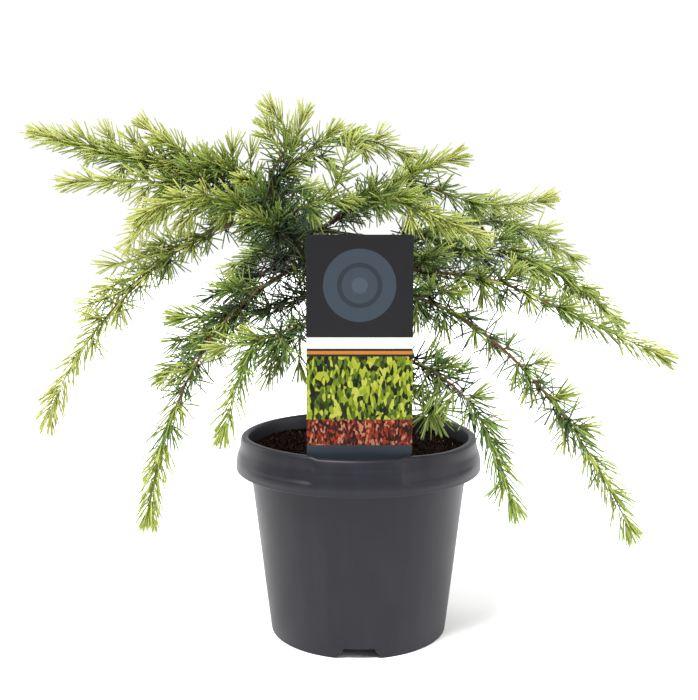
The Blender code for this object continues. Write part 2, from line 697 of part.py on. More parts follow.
def main():
    for old in list(bpy.data.objects):
        bpy.data.objects.remove(old)

    plastic = material("anthracite moulded plastic", (0.07, 0.072, 0.078), 0.42)
    compost = material("damp bark compost", (0.045, 0.028, 0.018), 0.95)
    card = material("printed plastic card", (0.05, 0.055, 0.065), 0.35)
    bark = material("young cedar bark", (0.16, 0.11, 0.06), 0.8)
    green = material("golden cedar needles", (0.34, 0.42, 0.08), 0.55)

    make_pot(plastic)
    make_soil(compost)
    make_card(card)
    trunk_path, trunk_radii = make_trunk(bark)

    limbs_taken = Taken()
    limbs_taken.add_path(trunk_path, trunk_radii)
    paths, masses = {}, []
    for limb in LIMBS:
        if limb.parent == "trunk":
            host_path, host_radii = trunk_path, trunk_radii
            start = point_at(trunk_path, np.interp(limb.place, trunk_path[:, 2], lengths_along(trunk_path)))
        else:
            host = next(x for x in LIMBS if x.name == limb.parent)
            host_path = paths[limb.parent]
            run = lengths_along(host_path)
            host_radii = np.array([limb_radius(host, d, run[-1]) for d in run])
            start = point_at(host_path, limb.place)
        path = paths[limb.name] = limb_path(start, limb)
        length = lengths_along(path)[-1]
        width, sides = (limb.thick, 6) if limb.bough else (STEM_SHARE * limb.thick, 3)
        begin = clear_start(path, width, sides, host_path, host_radii)
        if limb.bough:
            line = stretch(path, begin, limb.bough, 8)
            radii = [limb_radius(limb, d, length) for d in np.linspace(begin, limb.bough, len(line))]
            new_solid(f"bough_{limb.name}", *tube(line, radii, sides), bark)
            limbs_taken.add_path(line, radii)
            begin = limb.bough + GAP
        bend = limb.bend or length
        pieces = [("inner", begin, bend, not limb.bend)]
        if limb.bend:
            pieces.append(("outer", bend + GAP, length, True))
        for part, low, high, last in pieces:
            name = f"foliage_{limb.name}" + (f"_{part}" if limb.bend else "")
            mass = Foliage(name, limb, path, low, high)
            line = stretch(path, low, high, 6)
            radii = np.array([limb_radius(limb, d, length) for d in np.linspace(low, high, len(line))])
            mass.shoots.append([line, radii * STEM_SHARE, not last])
            mass.taken.add_path(line, radii)
            masses.append(mass)

    for mass in masses:
        others = np.concatenate([m.line for m in masses if m is not mass])
        grow_twigs(mass, limbs_taken, others)
        made = make_mass(mass, limbs_taken, others, green)
        made.data.shade_flat()

    whole = bpy.data.objects.new("cedar_in_pot", None)
    bpy.context.scene.collection.objects.link(whole)
    for made in list(bpy.context.scene.objects):
        if made is not whole:
            made.parent = whole


main()
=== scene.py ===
# %% [markdown]
# # A golden deodar cedar in its nursery pot
# This file dresses a plain solid model of a small potted conifer. The solids give sizes and places.
# Everything that the eye sees, which is moulded plastic, damp compost, bark and over twelve thousand
# needles, is made here. All lengths are in millimetres until a mesh is made, because that is how a grower
# would measure this plant.

import json
import math
import random
from collections import namedtuple

import bpy
import numpy as np
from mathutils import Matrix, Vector, noise

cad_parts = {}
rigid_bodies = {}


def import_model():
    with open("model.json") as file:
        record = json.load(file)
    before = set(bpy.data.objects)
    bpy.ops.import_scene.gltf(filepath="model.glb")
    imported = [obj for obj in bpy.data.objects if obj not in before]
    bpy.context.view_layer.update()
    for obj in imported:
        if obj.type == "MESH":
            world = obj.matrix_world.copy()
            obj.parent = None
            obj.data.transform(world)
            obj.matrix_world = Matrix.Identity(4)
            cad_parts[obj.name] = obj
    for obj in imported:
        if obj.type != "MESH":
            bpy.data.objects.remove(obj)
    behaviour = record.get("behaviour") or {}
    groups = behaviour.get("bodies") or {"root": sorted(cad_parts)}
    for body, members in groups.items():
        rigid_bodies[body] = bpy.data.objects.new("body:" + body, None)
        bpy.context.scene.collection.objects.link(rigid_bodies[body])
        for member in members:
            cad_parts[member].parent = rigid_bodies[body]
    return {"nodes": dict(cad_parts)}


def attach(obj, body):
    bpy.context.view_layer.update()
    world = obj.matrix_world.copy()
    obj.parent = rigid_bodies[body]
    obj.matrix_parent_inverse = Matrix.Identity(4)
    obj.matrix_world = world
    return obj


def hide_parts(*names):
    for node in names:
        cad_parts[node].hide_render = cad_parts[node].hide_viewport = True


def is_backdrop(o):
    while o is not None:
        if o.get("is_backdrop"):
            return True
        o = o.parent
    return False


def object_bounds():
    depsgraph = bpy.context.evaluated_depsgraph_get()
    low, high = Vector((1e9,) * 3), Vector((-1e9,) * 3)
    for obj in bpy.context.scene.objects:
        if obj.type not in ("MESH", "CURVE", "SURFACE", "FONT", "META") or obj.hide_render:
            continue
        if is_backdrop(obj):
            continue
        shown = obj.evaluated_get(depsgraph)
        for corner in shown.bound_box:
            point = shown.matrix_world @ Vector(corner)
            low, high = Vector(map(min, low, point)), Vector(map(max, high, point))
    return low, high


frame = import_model()
cad_low, cad_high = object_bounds()
NODES = sorted(frame["nodes"])
print("solids in the frame:", len(NODES))

# %% [markdown]
# ## Helpers for meshes, colours and nodes
# Blender stores lengths in metres and shader colours as linear light, while people think in millimetres and
# in the hex colours of a paint chart. Two small functions bridge that. A third adds a node with its
# settings and links in one call, so that a material reads as a short list of what it does.

# %% Helpers
MM = 0.001


def linear(colour):
    """A paint chart's hex colour as the linear colour that a shader takes."""
    parts = [int(colour[i : i + 2], 16) / 255 for i in (1, 3, 5)]
    return tuple(p / 12.92 if p <= 0.04045 else ((p + 0.055) / 1.055) ** 2.4 for p in parts) + (1.0,)


def add_node(tree, kind, inputs=(), stops=(), **settings):
    """One node. An input is set to a value, or linked where the value is another node's output. Stops are the
    places and hex colours of a colour ramp."""
    node = tree.nodes.new(kind)
    for name, value in settings.items():
        setattr(node, name, value)
    for number, (position, colour) in enumerate(stops):
        ramp = node.color_ramp.elements
        stop = ramp[number] if number < 2 else ramp.new(position)
        stop.position, stop.color = position, linear(colour)
    for key, value in dict(inputs).items():
        if isinstance(value, bpy.types.NodeSocket):
            tree.links.new(value, node.inputs[key])
        else:
            node.inputs[key].default_value = value
    return node


def plain_finish(name, **values):
    """A material with constant values: (socket name with underscores)=value."""
    made = bpy.data.materials.new(name)
    made.use_nodes = True
    shader = made.node_tree.nodes["Principled BSDF"]
    for key, value in values.items():
        shader.inputs[key.replace("_", " ")].default_value = value
    return made, made.node_tree, shader


def flat_finish(name, colour, rough, specular):
    """A material of one plain colour."""
    values = {"Base_Color": linear(colour), "Roughness": rough, "Specular_IOR_Level": specular}
    return plain_finish(name, **values)[0]


def new_piece(name, points, faces, look, smooth=True):
    """A mesh object whose points are given in millimetres."""
    mesh = bpy.data.meshes.new(name)
    mesh.from_pydata((np.asarray(points, float) * MM).tolist(), [], faces)
    mesh.materials.append(look)
    mesh.shade_smooth() if smooth else mesh.shade_flat()
    made = bpy.data.objects.new(name, mesh)
    bpy.context.scene.collection.objects.link(made)
    return made


def hand_over(piece, slot, *nodes):
    """The piece rides on the plant's one body and stands for these solids. The slot is not used."""
    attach(piece, "root")
    if nodes:
        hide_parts(*nodes)
    triangles = sum(len(face.vertices) - 2 for face in piece.data.polygons)
    print(f"{piece.name}: {triangles} triangles")


def soft_step(value, low, high):
    share = np.clip((np.asarray(value, float) - low) / (high - low), 0, 1)
    return share * share * (3 - 2 * share)


# %% [markdown]
# ## Camera, floor and light
# The plant was seen from a little above the crown's middle, from about 0.8 m away, through a lens of some
# 55 mm. The light is a white tent that is open at the front, with one diffuser above on the left and a
# wide, weaker bank on each side. It could be done with an image of a studio, but plain sources are easier
# to follow and to change.

# %% Camera
CAMERA_AT = (-7.4, -824.1, 337.1)
CAMERA_DOWN = 0.14  # radians below level
LENS = 55.4

camera = bpy.data.objects.new("camera", bpy.data.cameras.new("camera"))
camera.location = [value * MM for value in CAMERA_AT]
camera.rotation_euler = (math.pi / 2 - CAMERA_DOWN, 0, 0)
camera.data.lens = LENS
bpy.context.scene.collection.objects.link(camera)
bpy.context.scene.camera = camera
bpy.context.scene.view_settings.view_transform = "Standard"
print("camera", CAMERA_AT, "lens", LENS)

# %% Floor and light
FLOOR_HALF = 4000.0
floor_look = flat_finish("white studio paper", "#FBFBFA", 0.95, 0.1)
corners = [(x * FLOOR_HALF, y * FLOOR_HALF, 0) for x, y in ((-1, -1), (1, -1), (1, 1), (-1, 1))]
floor = new_piece("floor", corners, [(0, 1, 2, 3)], floor_look)
floor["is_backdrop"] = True

TENT, OPEN_FRONT = 1.03, 0.3  # the tent's light, and what comes in at its open front
FADES_IN, FULL_ON = -0.75, 0.05  # the tent begins between these, where -1 is the front and 1 the back
world = bpy.data.worlds.new("white tent")
world.use_nodes = True
world.node_tree.nodes["Background"].inputs["Color"].default_value = (1.0, 1.0, 1.0, 1.0)
bpy.context.scene.world = world
toward = add_node(world.node_tree, "ShaderNodeTexCoord").outputs["Generated"]
heading = add_node(world.node_tree, "ShaderNodeSeparateXYZ", {0: toward}).outputs["Y"]
strength = add_node(
    world.node_tree,
    "ShaderNodeMapRange",
    {"Value": heading, "From Min": FADES_IN, "From Max": FULL_ON, "To Min": OPEN_FRONT, "To Max": TENT},
    interpolation_type="SMOOTHSTEP",
)
world.node_tree.links.new(strength.outputs[0], world.node_tree.nodes["Background"].inputs["Strength"])
print("tent", TENT, "open front", OPEN_FRONT)


# %% Lamps
def soft_lamp(name, comes_from, strength, wide):
    """Even light from one direction, as from a big diffuser far away that looks so many degrees wide."""
    lamp = bpy.data.lights.new(name, "SUN")
    lamp.energy, lamp.angle = strength, math.radians(wide)
    made = bpy.data.objects.new(name, lamp)
    made.rotation_euler = (-Vector(comes_from)).to_track_quat("-Z", "Y").to_euler()
    bpy.context.scene.collection.objects.link(made)


for name, comes_from, strength, wide in (
    ("upper left diffuser", (-0.35, -0.45, 1.1), 4.9, 20),
    ("left bank", (-1.0, 0.7, 0.5), 0.8, 40),
    ("right bank", (1.0, -0.3, 0.5), 2.1, 50),
):
    soft_lamp(name, comes_from, strength, wide)
    print(name, "strength", strength)

# %% [markdown]
# ## The pot's plastic
# The pot is injection-moulded polypropylene in anthracite, from a steel tool with a fine satin texture.
# Such a surface is never one flat grey: the texture scatters light over a few tenths of a millimetre, the
# flow of the melt leaves very faint upright streaks, and handling polishes it in places. The IOR of
# polypropylene is 1.49.

# %% Pot plastic
pot_plastic, tree, shader = plain_finish(
    "anthracite moulded polypropylene", IOR=1.49, Specular_IOR_Level=0.22
)
place = add_node(tree, "ShaderNodeTexCoord").outputs["Object"]
GRAIN_MM = 1.1  # the tool's texture is nearer 0.3 mm, drawn coarser so that a render can hold it
CLOUD_MM = 28.0
STREAK_MM = 9.0
grain = add_node(tree, "ShaderNodeTexNoise", {"Vector": place, "Scale": 1 / (GRAIN_MM * MM), "Detail": 2.0})
clouds = add_node(tree, "ShaderNodeTexNoise", {"Vector": place, "Scale": 1 / (CLOUD_MM * MM), "Detail": 3.0})
upright = add_node(tree, "ShaderNodeMapping", {"Vector": place, "Scale": (1.0, 1.0, 0.06)})
streaks = add_node(
    tree, "ShaderNodeTexNoise", {"Vector": upright.outputs[0], "Scale": 1 / (STREAK_MM * MM), "Detail": 2.0}
)
blend = add_node(tree, "ShaderNodeMath", {0: clouds.outputs[0], 1: streaks.outputs[0]}, operation="MULTIPLY")
tone = add_node(
    tree, "ShaderNodeValToRGB", {"Fac": blend.outputs[0]}, ((0.12, "#19191F"), (0.42, "#1E1E25"))
)
tree.links.new(tone.outputs[0], shader.inputs["Base Color"])
gloss = add_node(tree, "ShaderNodeMapRange", {"Value": clouds.outputs[0], "To Min": 0.36, "To Max": 0.47})
tree.links.new(gloss.outputs[0], shader.inputs["Roughness"])
skin = add_node(tree, "ShaderNodeBump", {"Height": grain.outputs[0], "Strength": 0.16, "Distance": 0.1 * MM})
tree.links.new(skin.outputs[0], shader.inputs["Normal"])
print("pot plastic: grain", GRAIN_MM, "mm")

# %% [markdown]
# ## The pot
# A thin wall with a foot ring, a raised floor, and a collar that hangs from the rolled lip and hides the
# wall's top. Where the card stands, the lip drops a little and the collar is fuller, with a soft crease to
# each side, and at the front left the lip stands a little high, as on a thin collar that was gripped there.
# A turned profile gives the shell. The same angles carry the front's fuller collar, so that it needs no
# patch.

# %% Pot sizes and profile
COLLAR_RADIUS, COLLAR_TOP_RADIUS, MOUTH_RADIUS = 95.2, 90.9, 85.7
COLLAR_FOOT, POT_HEIGHT = 129.4, 155.0
COLLAR_ROOT, COLLAR_ROOT_RADIUS = 151, 88.6  # inside the collar, where it leaves the wall
FOOT_RADIUS, WALL_SLOPE, WALL = 68.9, 0.118, 1.7
FLOOR_UNDER, FLOOR_TOP, BOSS_RADIUS = 7.2, 9.2, 11.0
COLLAR_CURVE = 0.0186  # the collar draws in by this times the square of the rise
LIP_DROP, LIP_LIFT, FRONT_BULGE = 1.3, 2.0, 1.5
FRONT_HALF, FRONT_END = 19, 22  # degrees to each side of the card's heading
CREASE_FADES = (38, 75)
CARD_HEADING = 270
LIFT_HEADING, LIFT_WIDE = 247, 75  # where the lip stands a little high, and how many degrees to each side
LIFT_FULL = 0.4  # the share of that width which is lifted in full
GAP = 0.3


def wall_radius(height):
    return FOOT_RADIUS + WALL_SLOPE * height


def bent(start, middle, end, t):
    """Points on the curve that leaves the start towards the middle and comes from there to the end."""
    return (1 - t) ** 2 * start + 2 * (1 - t) * t * middle + t**2 * end


def rounded(corners, radii, steps=5):
    """A run of points whose corners are rounded off, each over the length given, 0 for a sharp one."""
    run = []
    points = np.array(corners, float)
    for i, (corner, radius) in enumerate(zip(points, radii)):
        if radius == 0 or i in (0, len(points) - 1):
            run.append(corner)
            continue
        back, ahead = points[i - 1] - corner, points[i + 1] - corner
        reach = min(radius, 0.49 * np.linalg.norm(back), 0.49 * np.linalg.norm(ahead))
        start, end = (corner + reach * way / np.linalg.norm(way) for way in (back, ahead))
        run += [bent(start, corner, end, t) for t in np.linspace(0, 1, steps)]
    return np.array(run)


inner = wall_radius(0) - WALL
# From the middle of the underside, out and over the rim, to the middle of the floor's top: the radius and
# height of each corner, and how far it is rounded off
POT_CORNERS = [
    ((0, 0), 0),
    ((BOSS_RADIUS, 0), 0.8),
    ((BOSS_RADIUS + 0.8, FLOOR_UNDER), 0.8),
    ((inner + 0.6, FLOOR_UNDER), 1.5),
    ((inner, 0), 0.6),
    ((FOOT_RADIUS, 0), 3.6),
    *[((wall_radius(height), height), 0) for height in (40, 80, 120)],
    ((wall_radius(COLLAR_ROOT), COLLAR_ROOT), 1.0),
    ((COLLAR_ROOT_RADIUS, COLLAR_ROOT + 0.2), 0.8),
    ((COLLAR_RADIUS - 2.4, COLLAR_FOOT), 0.9),
    ((COLLAR_RADIUS + 0.1, COLLAR_FOOT + 0.2), 3.0),
    *[((COLLAR_RADIUS - COLLAR_CURVE * up**2, COLLAR_FOOT + 4 + up), 0) for up in np.arange(0, 12.1, 0.8)],
    ((COLLAR_TOP_RADIUS + 1.1, POT_HEIGHT - 6.6), 1.0),
    ((COLLAR_TOP_RADIUS + 0.3, POT_HEIGHT), 2.6),
    ((MOUTH_RADIUS, POT_HEIGHT), 1.9),
    ((wall_radius(147) - WALL, 147), 2.5),
    ((wall_radius(80) - WALL, 80), 0),
    ((wall_radius(FLOOR_TOP) - WALL, FLOOR_TOP), 4.0),
    ((0, FLOOR_TOP), 0),
]
pot_profile = rounded([c for c, _ in POT_CORNERS], [r for _, r in POT_CORNERS])
print("pot profile:", len(pot_profile), "points")


# %% Turning a profile
def turned(profile, count, start=0.0):
    """Points and faces of a (radius, height) profile turned round the pot's axis, where both ends lie."""
    turn = 2 * math.pi * np.arange(count) / count + math.radians(start)
    rings = profile[1:-1]
    around = np.stack([np.cos(turn), np.sin(turn)], axis=1)
    body = np.concatenate(
        [rings[:, None, :1] * around[None], np.repeat(rings[:, None, 1:], count, axis=1)], axis=2
    )
    points = np.concatenate([[(0, 0, profile[0][1])], body.reshape(-1, 3), [(0, 0, profile[-1][1])]])
    last, faces = len(points) - 1, []
    for j in range(count):
        k = (j + 1) % count
        faces.append((0, 1 + k, 1 + j))
        for i in range(len(rings) - 1):
            low, high = 1 + i * count, 1 + (i + 1) * count
            faces.append((low + j, low + k, high + k, high + j))
        faces.append((last, last - count + j, last - count + k))
    return points, faces


def off_front(points):
    """How far each point's heading is from the card's, in degrees."""
    away = np.degrees(np.arctan2(points[:, 1], points[:, 0])) - CARD_HEADING
    return np.abs((away + 180) % 360 - 180)


# %% Pot shell
POT_AROUND, POT_CREASE = 288, 38  # corners to a ring, and degrees from which an edge is sharp
BAND_FADES = (COLLAR_FOOT + 8, COLLAR_FOOT + 11)  # the heights between which each form fades in or out
SKIRT_STARTS, SKIRT_ENDS = (COLLAR_FOOT + 1, COLLAR_FOOT + 6), (POT_HEIGHT - 6, POT_HEIGHT - 2)
LIP_STARTS = (POT_HEIGHT - 8, POT_HEIGHT - 2)
COLLAR_FROM, LIP_FROM = COLLAR_TOP_RADIUS - 1.4, MOUTH_RADIUS - 1.5  # radii
shell, sides = turned(pot_profile, POT_AROUND, CARD_HEADING)
away, height = off_front(shell), shell[:, 2]
radius = np.hypot(shell[:, 0], shell[:, 1])
front = 1 - soft_step(away, FRONT_HALF, FRONT_END)
low_band = (1 - soft_step(height, *BAND_FADES)) * (1 - soft_step(away, *CREASE_FADES))
full = np.maximum(front, low_band)
skirt = (radius > COLLAR_FROM) * soft_step(height, *SKIRT_STARTS)
skirt *= 1 - soft_step(height, *SKIRT_ENDS)
shell[:, :2] *= (1 + FRONT_BULGE * full * skirt / np.maximum(radius, 1))[:, None]
on_lip = soft_step(height, *LIP_STARTS) * (radius > LIP_FROM)
heading = np.degrees(np.arctan2(shell[:, 1], shell[:, 0])) % 360
lift = LIP_LIFT * (1 - soft_step(np.abs(heading - LIFT_HEADING), LIFT_FULL * LIFT_WIDE, LIFT_WIDE))
shell[:, 2] += (lift - LIP_DROP * front) * on_lip
pot_shell = new_piece("pot_shell", shell, sides, pot_plastic)
print("pot shell before the cuts:", len(sides), "faces")

# %% [markdown]
# ## Notches and drain holes
# Three shallow notches in the foot let water run out from under the pot, and six holes drain its floor.
# They are cut with a Boolean modifier, as the tool's slides would do, and the edges are kept crisp
# afterwards.

# %% Cutting and joining
def prism(outline, depth):
    """A counter-clockwise (x, z) outline drawn out from y = 0 to y = depth."""
    count = len(outline)
    points = [(x, 0, z) for x, z in outline] + [(x, depth, z) for x, z in outline]
    faces = [tuple(range(count)), tuple(range(2 * count - 1, count - 1, -1))]
    faces += [(j, count + j, count + (j + 1) % count, (j + 1) % count) for j in range(count)]
    return np.array(points, float), faces


def turn_about_z(points, degrees):
    turn = math.radians(degrees)
    spin = np.array([[math.cos(turn), -math.sin(turn), 0], [math.sin(turn), math.cos(turn), 0], [0, 0, 1]])
    return points @ spin.T


def cut_away(target, tool):
    """Cuts one object out of another and removes the tool."""
    step = target.modifiers.new("cut", "BOOLEAN")
    step.operation, step.object = "DIFFERENCE", tool
    seen = target.evaluated_get(bpy.context.evaluated_depsgraph_get())
    cut = bpy.data.meshes.new_from_object(seen)
    target.modifiers.clear()
    target.data = cut
    bpy.data.objects.remove(tool)


def joined(name, shapes, look):
    """Several (points, faces) as one piece."""
    points, faces, start = [], [], 0
    for own_points, own_faces in shapes:
        points.append(np.asarray(own_points, float))
        faces += [tuple(start + int(corner) for corner in face) for face in own_faces]
        start += len(own_points)
    return new_piece(name, np.concatenate(points), faces, look)


# %% Notches and drain holes
NOTCH_HEADINGS, NOTCH_TOP, NOTCH_HALF_WIDTHS, NOTCH_CURVE = (270, 30, 150), 8.4, (17.8, 11.5), 1.6
NOTCH_OUTSIDE, NOTCH_DEEP, PAST = 8, 12, 2  # where a cutter starts, how far it goes, and how far past an end
DRAIN_COUNT, DRAIN_HEADING, DRAIN_RING, DRAIN_RADIUS = 6, 37, 46.0, 4.5
DRAIN_SIDES, DRAIN_DEEP = 32, 6
foot, top = NOTCH_HALF_WIDTHS
edge = [(top + (foot - top) * s**NOTCH_CURVE, NOTCH_TOP * (1 - s)) for s in np.linspace(0.03, 1, 9)]
notch = [(-x, z) for x, z in edge] + [(-foot, -PAST), (foot, -PAST)] + edge[::-1]
cutters = []
for heading in NOTCH_HEADINGS:
    shape, faces = prism(notch, NOTCH_DEEP)
    shape[:, 1] += -FOOT_RADIUS - NOTCH_OUTSIDE
    cutters.append((turn_about_z(shape, heading - CARD_HEADING), faces))
turns = 2 * math.pi * np.arange(DRAIN_SIDES) / DRAIN_SIDES
hole = [(DRAIN_RADIUS * math.cos(turn), DRAIN_RADIUS * math.sin(turn)) for turn in turns]
for number in range(DRAIN_COUNT):
    shape, faces = prism(hole, -DRAIN_DEEP)
    shape = shape[:, [0, 2, 1]] + (DRAIN_RING, 0, FLOOR_TOP + PAST)
    cutters.append((turn_about_z(shape, DRAIN_HEADING + 360 / DRAIN_COUNT * number), faces))
cut_away(pot_shell, joined("cutters", cutters, pot_plastic))
pot_shell.data.shade_smooth()
pot_shell.data.set_sharp_from_angle(angle=math.radians(POT_CREASE))
hand_over(pot_shell, "pot_plastic", "pot")

# %% [markdown]
# ## Damp compost
# The pot is filled with peat and fine bark. Wet peat is almost black, and the bark in it is red-brown. Pale
# slivers among them are painted glints, the shine of the damp compost drawn as colour. The bed below is one
# uneven, closed mass. The loose bits on it are strewn by Geometry Nodes, because thousands of crumbs follow
# one rule: any place, any way round, a size between two limits.

# %% Compost finish
peat, tree, shader = plain_finish("damp peat", Roughness=0.88, Specular_IOR_Level=0.03)
place = add_node(tree, "ShaderNodeTexCoord").outputs["Object"]
CRUMB_MM = 2.2
crumbs = add_node(tree, "ShaderNodeTexNoise", {"Vector": place, "Scale": 1 / (CRUMB_MM * MM), "Detail": 5.0})
tone = add_node(
    tree, "ShaderNodeValToRGB", {"Fac": crumbs.outputs[0]}, ((0.36, "#060403"), (0.66, "#1E130F"))
)
tree.links.new(tone.outputs[0], shader.inputs["Base Color"])
rough = add_node(
    tree, "ShaderNodeBump", {"Height": crumbs.outputs[0], "Strength": 0.8, "Distance": 0.8 * MM}
)
tree.links.new(rough.outputs[0], shader.inputs["Normal"])
print("damp peat: crumbs", CRUMB_MM, "mm")

# %% Compost bed
SOIL_TOP, SOIL_UNEVEN, SOIL_FIT, SOIL_EDGE_DROP = 144.7, 1.3, 2.1, 1.2
LUMPS, LUMPS_SINK = ((0.9, 0.05), (0.7, 0.3)), 0.25  # each size's strength and how many to a millimetre
BED_AROUND, STREWN_AROUND = 180, 90  # corners to a ring
BED_RINGS = np.concatenate([np.arange(3, 81, 1.5), [82.0]])
bed_edge = wall_radius(SOIL_TOP) - SOIL_FIT
bed_profile = [(0, FLOOR_TOP + GAP), (wall_radius(FLOOR_TOP) - SOIL_FIT, FLOOR_TOP + GAP)]
bed_profile.append((bed_edge, SOIL_TOP - SOIL_EDGE_DROP))
bed_profile += [(ring, SOIL_TOP) for ring in (*BED_RINGS[::-1], 0)]
bed, bed_faces = turned(np.array(bed_profile), BED_AROUND)


def lumpy(points):
    """Raises and sinks the points of the compost's top by two sizes of lump."""
    for point in points:
        if point[2] > SOIL_TOP - 2:
            lift = sum(strong * noise.noise(Vector(point) * fine) for strong, fine in LUMPS)
            point[2] += SOIL_UNEVEN * (lift - LUMPS_SINK)


lumpy(bed)
compost_bed = new_piece("compost_bed", bed, bed_faces, peat)
hand_over(compost_bed, "compost", "soil")


# %% A tree of nodes that strews pieces
def strewing_tree():
    """Named inputs: the piece to strew, how many to a square metre, its sizes, the seed and the material."""
    tree = bpy.data.node_groups.new("strewn pieces", "GeometryNodeTree")
    new_socket = tree.interface.new_socket
    new_socket(name="Geometry", in_out="OUTPUT", socket_type="NodeSocketGeometry")
    for name, kind in (
        ("Geometry", "Geometry"),
        ("Piece", "Object"),
        ("Per square metre", "Float"),
        ("Smallest", "Float"),
        ("Largest", "Float"),
        ("Seed", "Int"),
        ("Finish", "Material"),
    ):
        new_socket(name=name, in_out="INPUT", socket_type=f"NodeSocket{kind}")
    given = add_node(tree, "NodeGroupInput").outputs
    places = add_node(
        tree,
        "GeometryNodeDistributePointsOnFaces",
        {"Mesh": given["Geometry"], "Density": given["Per square metre"], "Seed": given["Seed"]},
    )
    piece = add_node(tree, "GeometryNodeObjectInfo", {"Object": given["Piece"]})
    turn = add_node(
        tree,
        "FunctionNodeRandomValue",
        {0: (0.0, 0.0, 0.0), 1: (math.tau, math.tau, math.tau), "Seed": given["Seed"]},
        data_type="FLOAT_VECTOR",
    )
    size = add_node(
        tree, "FunctionNodeRandomValue", {2: given["Smallest"], 3: given["Largest"], "Seed": given["Seed"]}
    )
    copies = add_node(
        tree,
        "GeometryNodeInstanceOnPoints",
        {
            "Points": places.outputs["Points"],
            "Instance": piece.outputs["Geometry"],
            "Rotation": turn.outputs[0],
            "Scale": size.outputs[1],
        },
    )
    real = add_node(tree, "GeometryNodeRealizeInstances", {0: copies.outputs[0]})
    painted = add_node(tree, "GeometryNodeSetMaterial", {0: real.outputs[0], "Material": given["Finish"]})
    add_node(tree, "NodeGroupOutput", {0: painted.outputs[0]})
    return tree


def strew(name, ground, tree, **values):
    """A plain mesh of the pieces strewn over the ground."""
    carrier = bpy.data.objects.new(name, ground.data.copy())
    bpy.context.scene.collection.objects.link(carrier)
    step = carrier.modifiers.new("strew", "NODES")
    step.node_group = tree
    for item in tree.interface.items_tree:
        key = item.name.replace(" ", "_")
        if item.in_out == "INPUT" and key in values:
            step[item.identifier] = values[key]
    seen = carrier.evaluated_get(bpy.context.evaluated_depsgraph_get())
    result = bpy.data.meshes.new_from_object(seen)
    carrier.modifiers.clear()
    carrier.data = result
    result.shade_flat()
    return carrier


# %% Crumbs and slivers
def chip(name, size, sides, seed):
    """A rough lump of peat or bark: a short, uneven prism with domed ends, of unit length."""
    chance = random.Random(seed)
    points = [(-0.5, 0, 0)]
    for x in (-0.3, 0.25):
        for j in range(sides):
            turn = 2 * math.pi * (j + chance.uniform(-0.25, 0.25)) / sides
            reach = chance.uniform(0.75, 1.1)
            points.append((x, size[0] * reach * math.cos(turn), size[1] * reach * math.sin(turn)))
    points.append((0.5, chance.uniform(-0.05, 0.05), 0))
    last, faces = len(points) - 1, []
    for j in range(sides):
        k = (j + 1) % sides
        faces += [(0, 1 + k, 1 + j), (1 + j, 1 + k, 1 + sides + k, 1 + sides + j)]
        faces.append((last, 1 + sides + j, 1 + sides + k))
    return new_piece(name, np.array(points) / MM, faces, peat, smooth=False)


crumb, sliver = chip("crumb", (0.42, 0.34), 5, "crumb"), chip("sliver", (0.2, 0.11), 4, "sliver")
print("a crumb has", len(crumb.data.polygons), "faces, a sliver", len(sliver.data.polygons))

# %% Strewing the compost
# The ground to strew on is the bed's top. Both ends of the turned run are left out, with their faces.
ground_run = [(r, SOIL_TOP) for r in (BED_RINGS[-1] + 2, *BED_RINGS[::-1])]
ground_points, ground_faces = turned(np.array(ground_run), STREWN_AROUND)
top_faces = [face for face in ground_faces if 0 not in face and len(ground_points) - 1 not in face]
lumpy(ground_points)
ground = new_piece("ground", ground_points, top_faces, peat)
strewn = strewing_tree()
# For each kind: its form, how many to a square metre, the smallest and largest in millimetres, and its
# colour
for name, piece, many, small, large, colour in (
    ("peat_crumbs", crumb, 95000, 0.9, 2.6, "#0C0806"),
    ("bark_slivers", sliver, 34000, 2.0, 5.5, "#3E2218"),
    ("bark_slivers_dark", sliver, 32000, 2.0, 6.5, "#130C0A"),
    # the pale slivers are painted glints: the shine of the damp compost drawn as a pale colour
    ("pale_bits", sliver, 8000, 1.0, 2.6, "#9A8070"),
):
    sizes = {"Per_square_metre": float(many), "Smallest": small * MM, "Largest": large * MM}
    finish = flat_finish(name.replace("_", " "), colour, 0.8, 0.06)
    bits = strew(name, ground, strewn, Piece=piece, Seed=len(name), Finish=finish, **sizes)
    hand_over(bits, "compost")
for helper in (ground, crumb, sliver):
    bpy.data.objects.remove(helper)

# %% [markdown]
# ## The plant card
# A punched sheet of polypropylene, 0.8 mm thick, whose lower end narrows to a stake. Its face is offset
# printed and sealed with a satin varnish. The design here is plain on purpose: a charcoal ground with a
# ringed slate disc, a white band over an ochre line, a mosaic of slanted leaf cells, and one of small
# russet cells over a grey-blue foot. It is drawn by arithmetic on each point's place on the card, so its
# edges stay sharp at any size and it needs no picture.

# %% Card outline
CARD_FACE_Y, CARD_THICK, CARD_HALF_WIDTH, CARD_TOP, CARD_NECK = -76.2, 0.8, 37.4, 312.2, 154.5
STAKE_HALF_WIDTH, STAKE_FOOT, CARD_EDGE = 9.0, 96.0, 0.12
half = rounded(
    [
        (0, STAKE_FOOT),
        (STAKE_HALF_WIDTH - 2, STAKE_FOOT + 10),
        (STAKE_HALF_WIDTH, CARD_NECK - 6.5),
        (CARD_HALF_WIDTH - 6, CARD_NECK - 5.5),
        (CARD_HALF_WIDTH, CARD_NECK + 1),
        (CARD_HALF_WIDTH, CARD_TOP),
        (0, CARD_TOP),
    ],
    [0, 3, 0, 4, 3, 1.6, 0],
)
outline = [tuple(p) for p in half] + [(-x, z) for x, z in half[-2:0:-1]]
shape, faces = prism(outline, CARD_THICK)
shape[:, 1] += CARD_FACE_Y
print("card:", len(outline), "points round its edge")

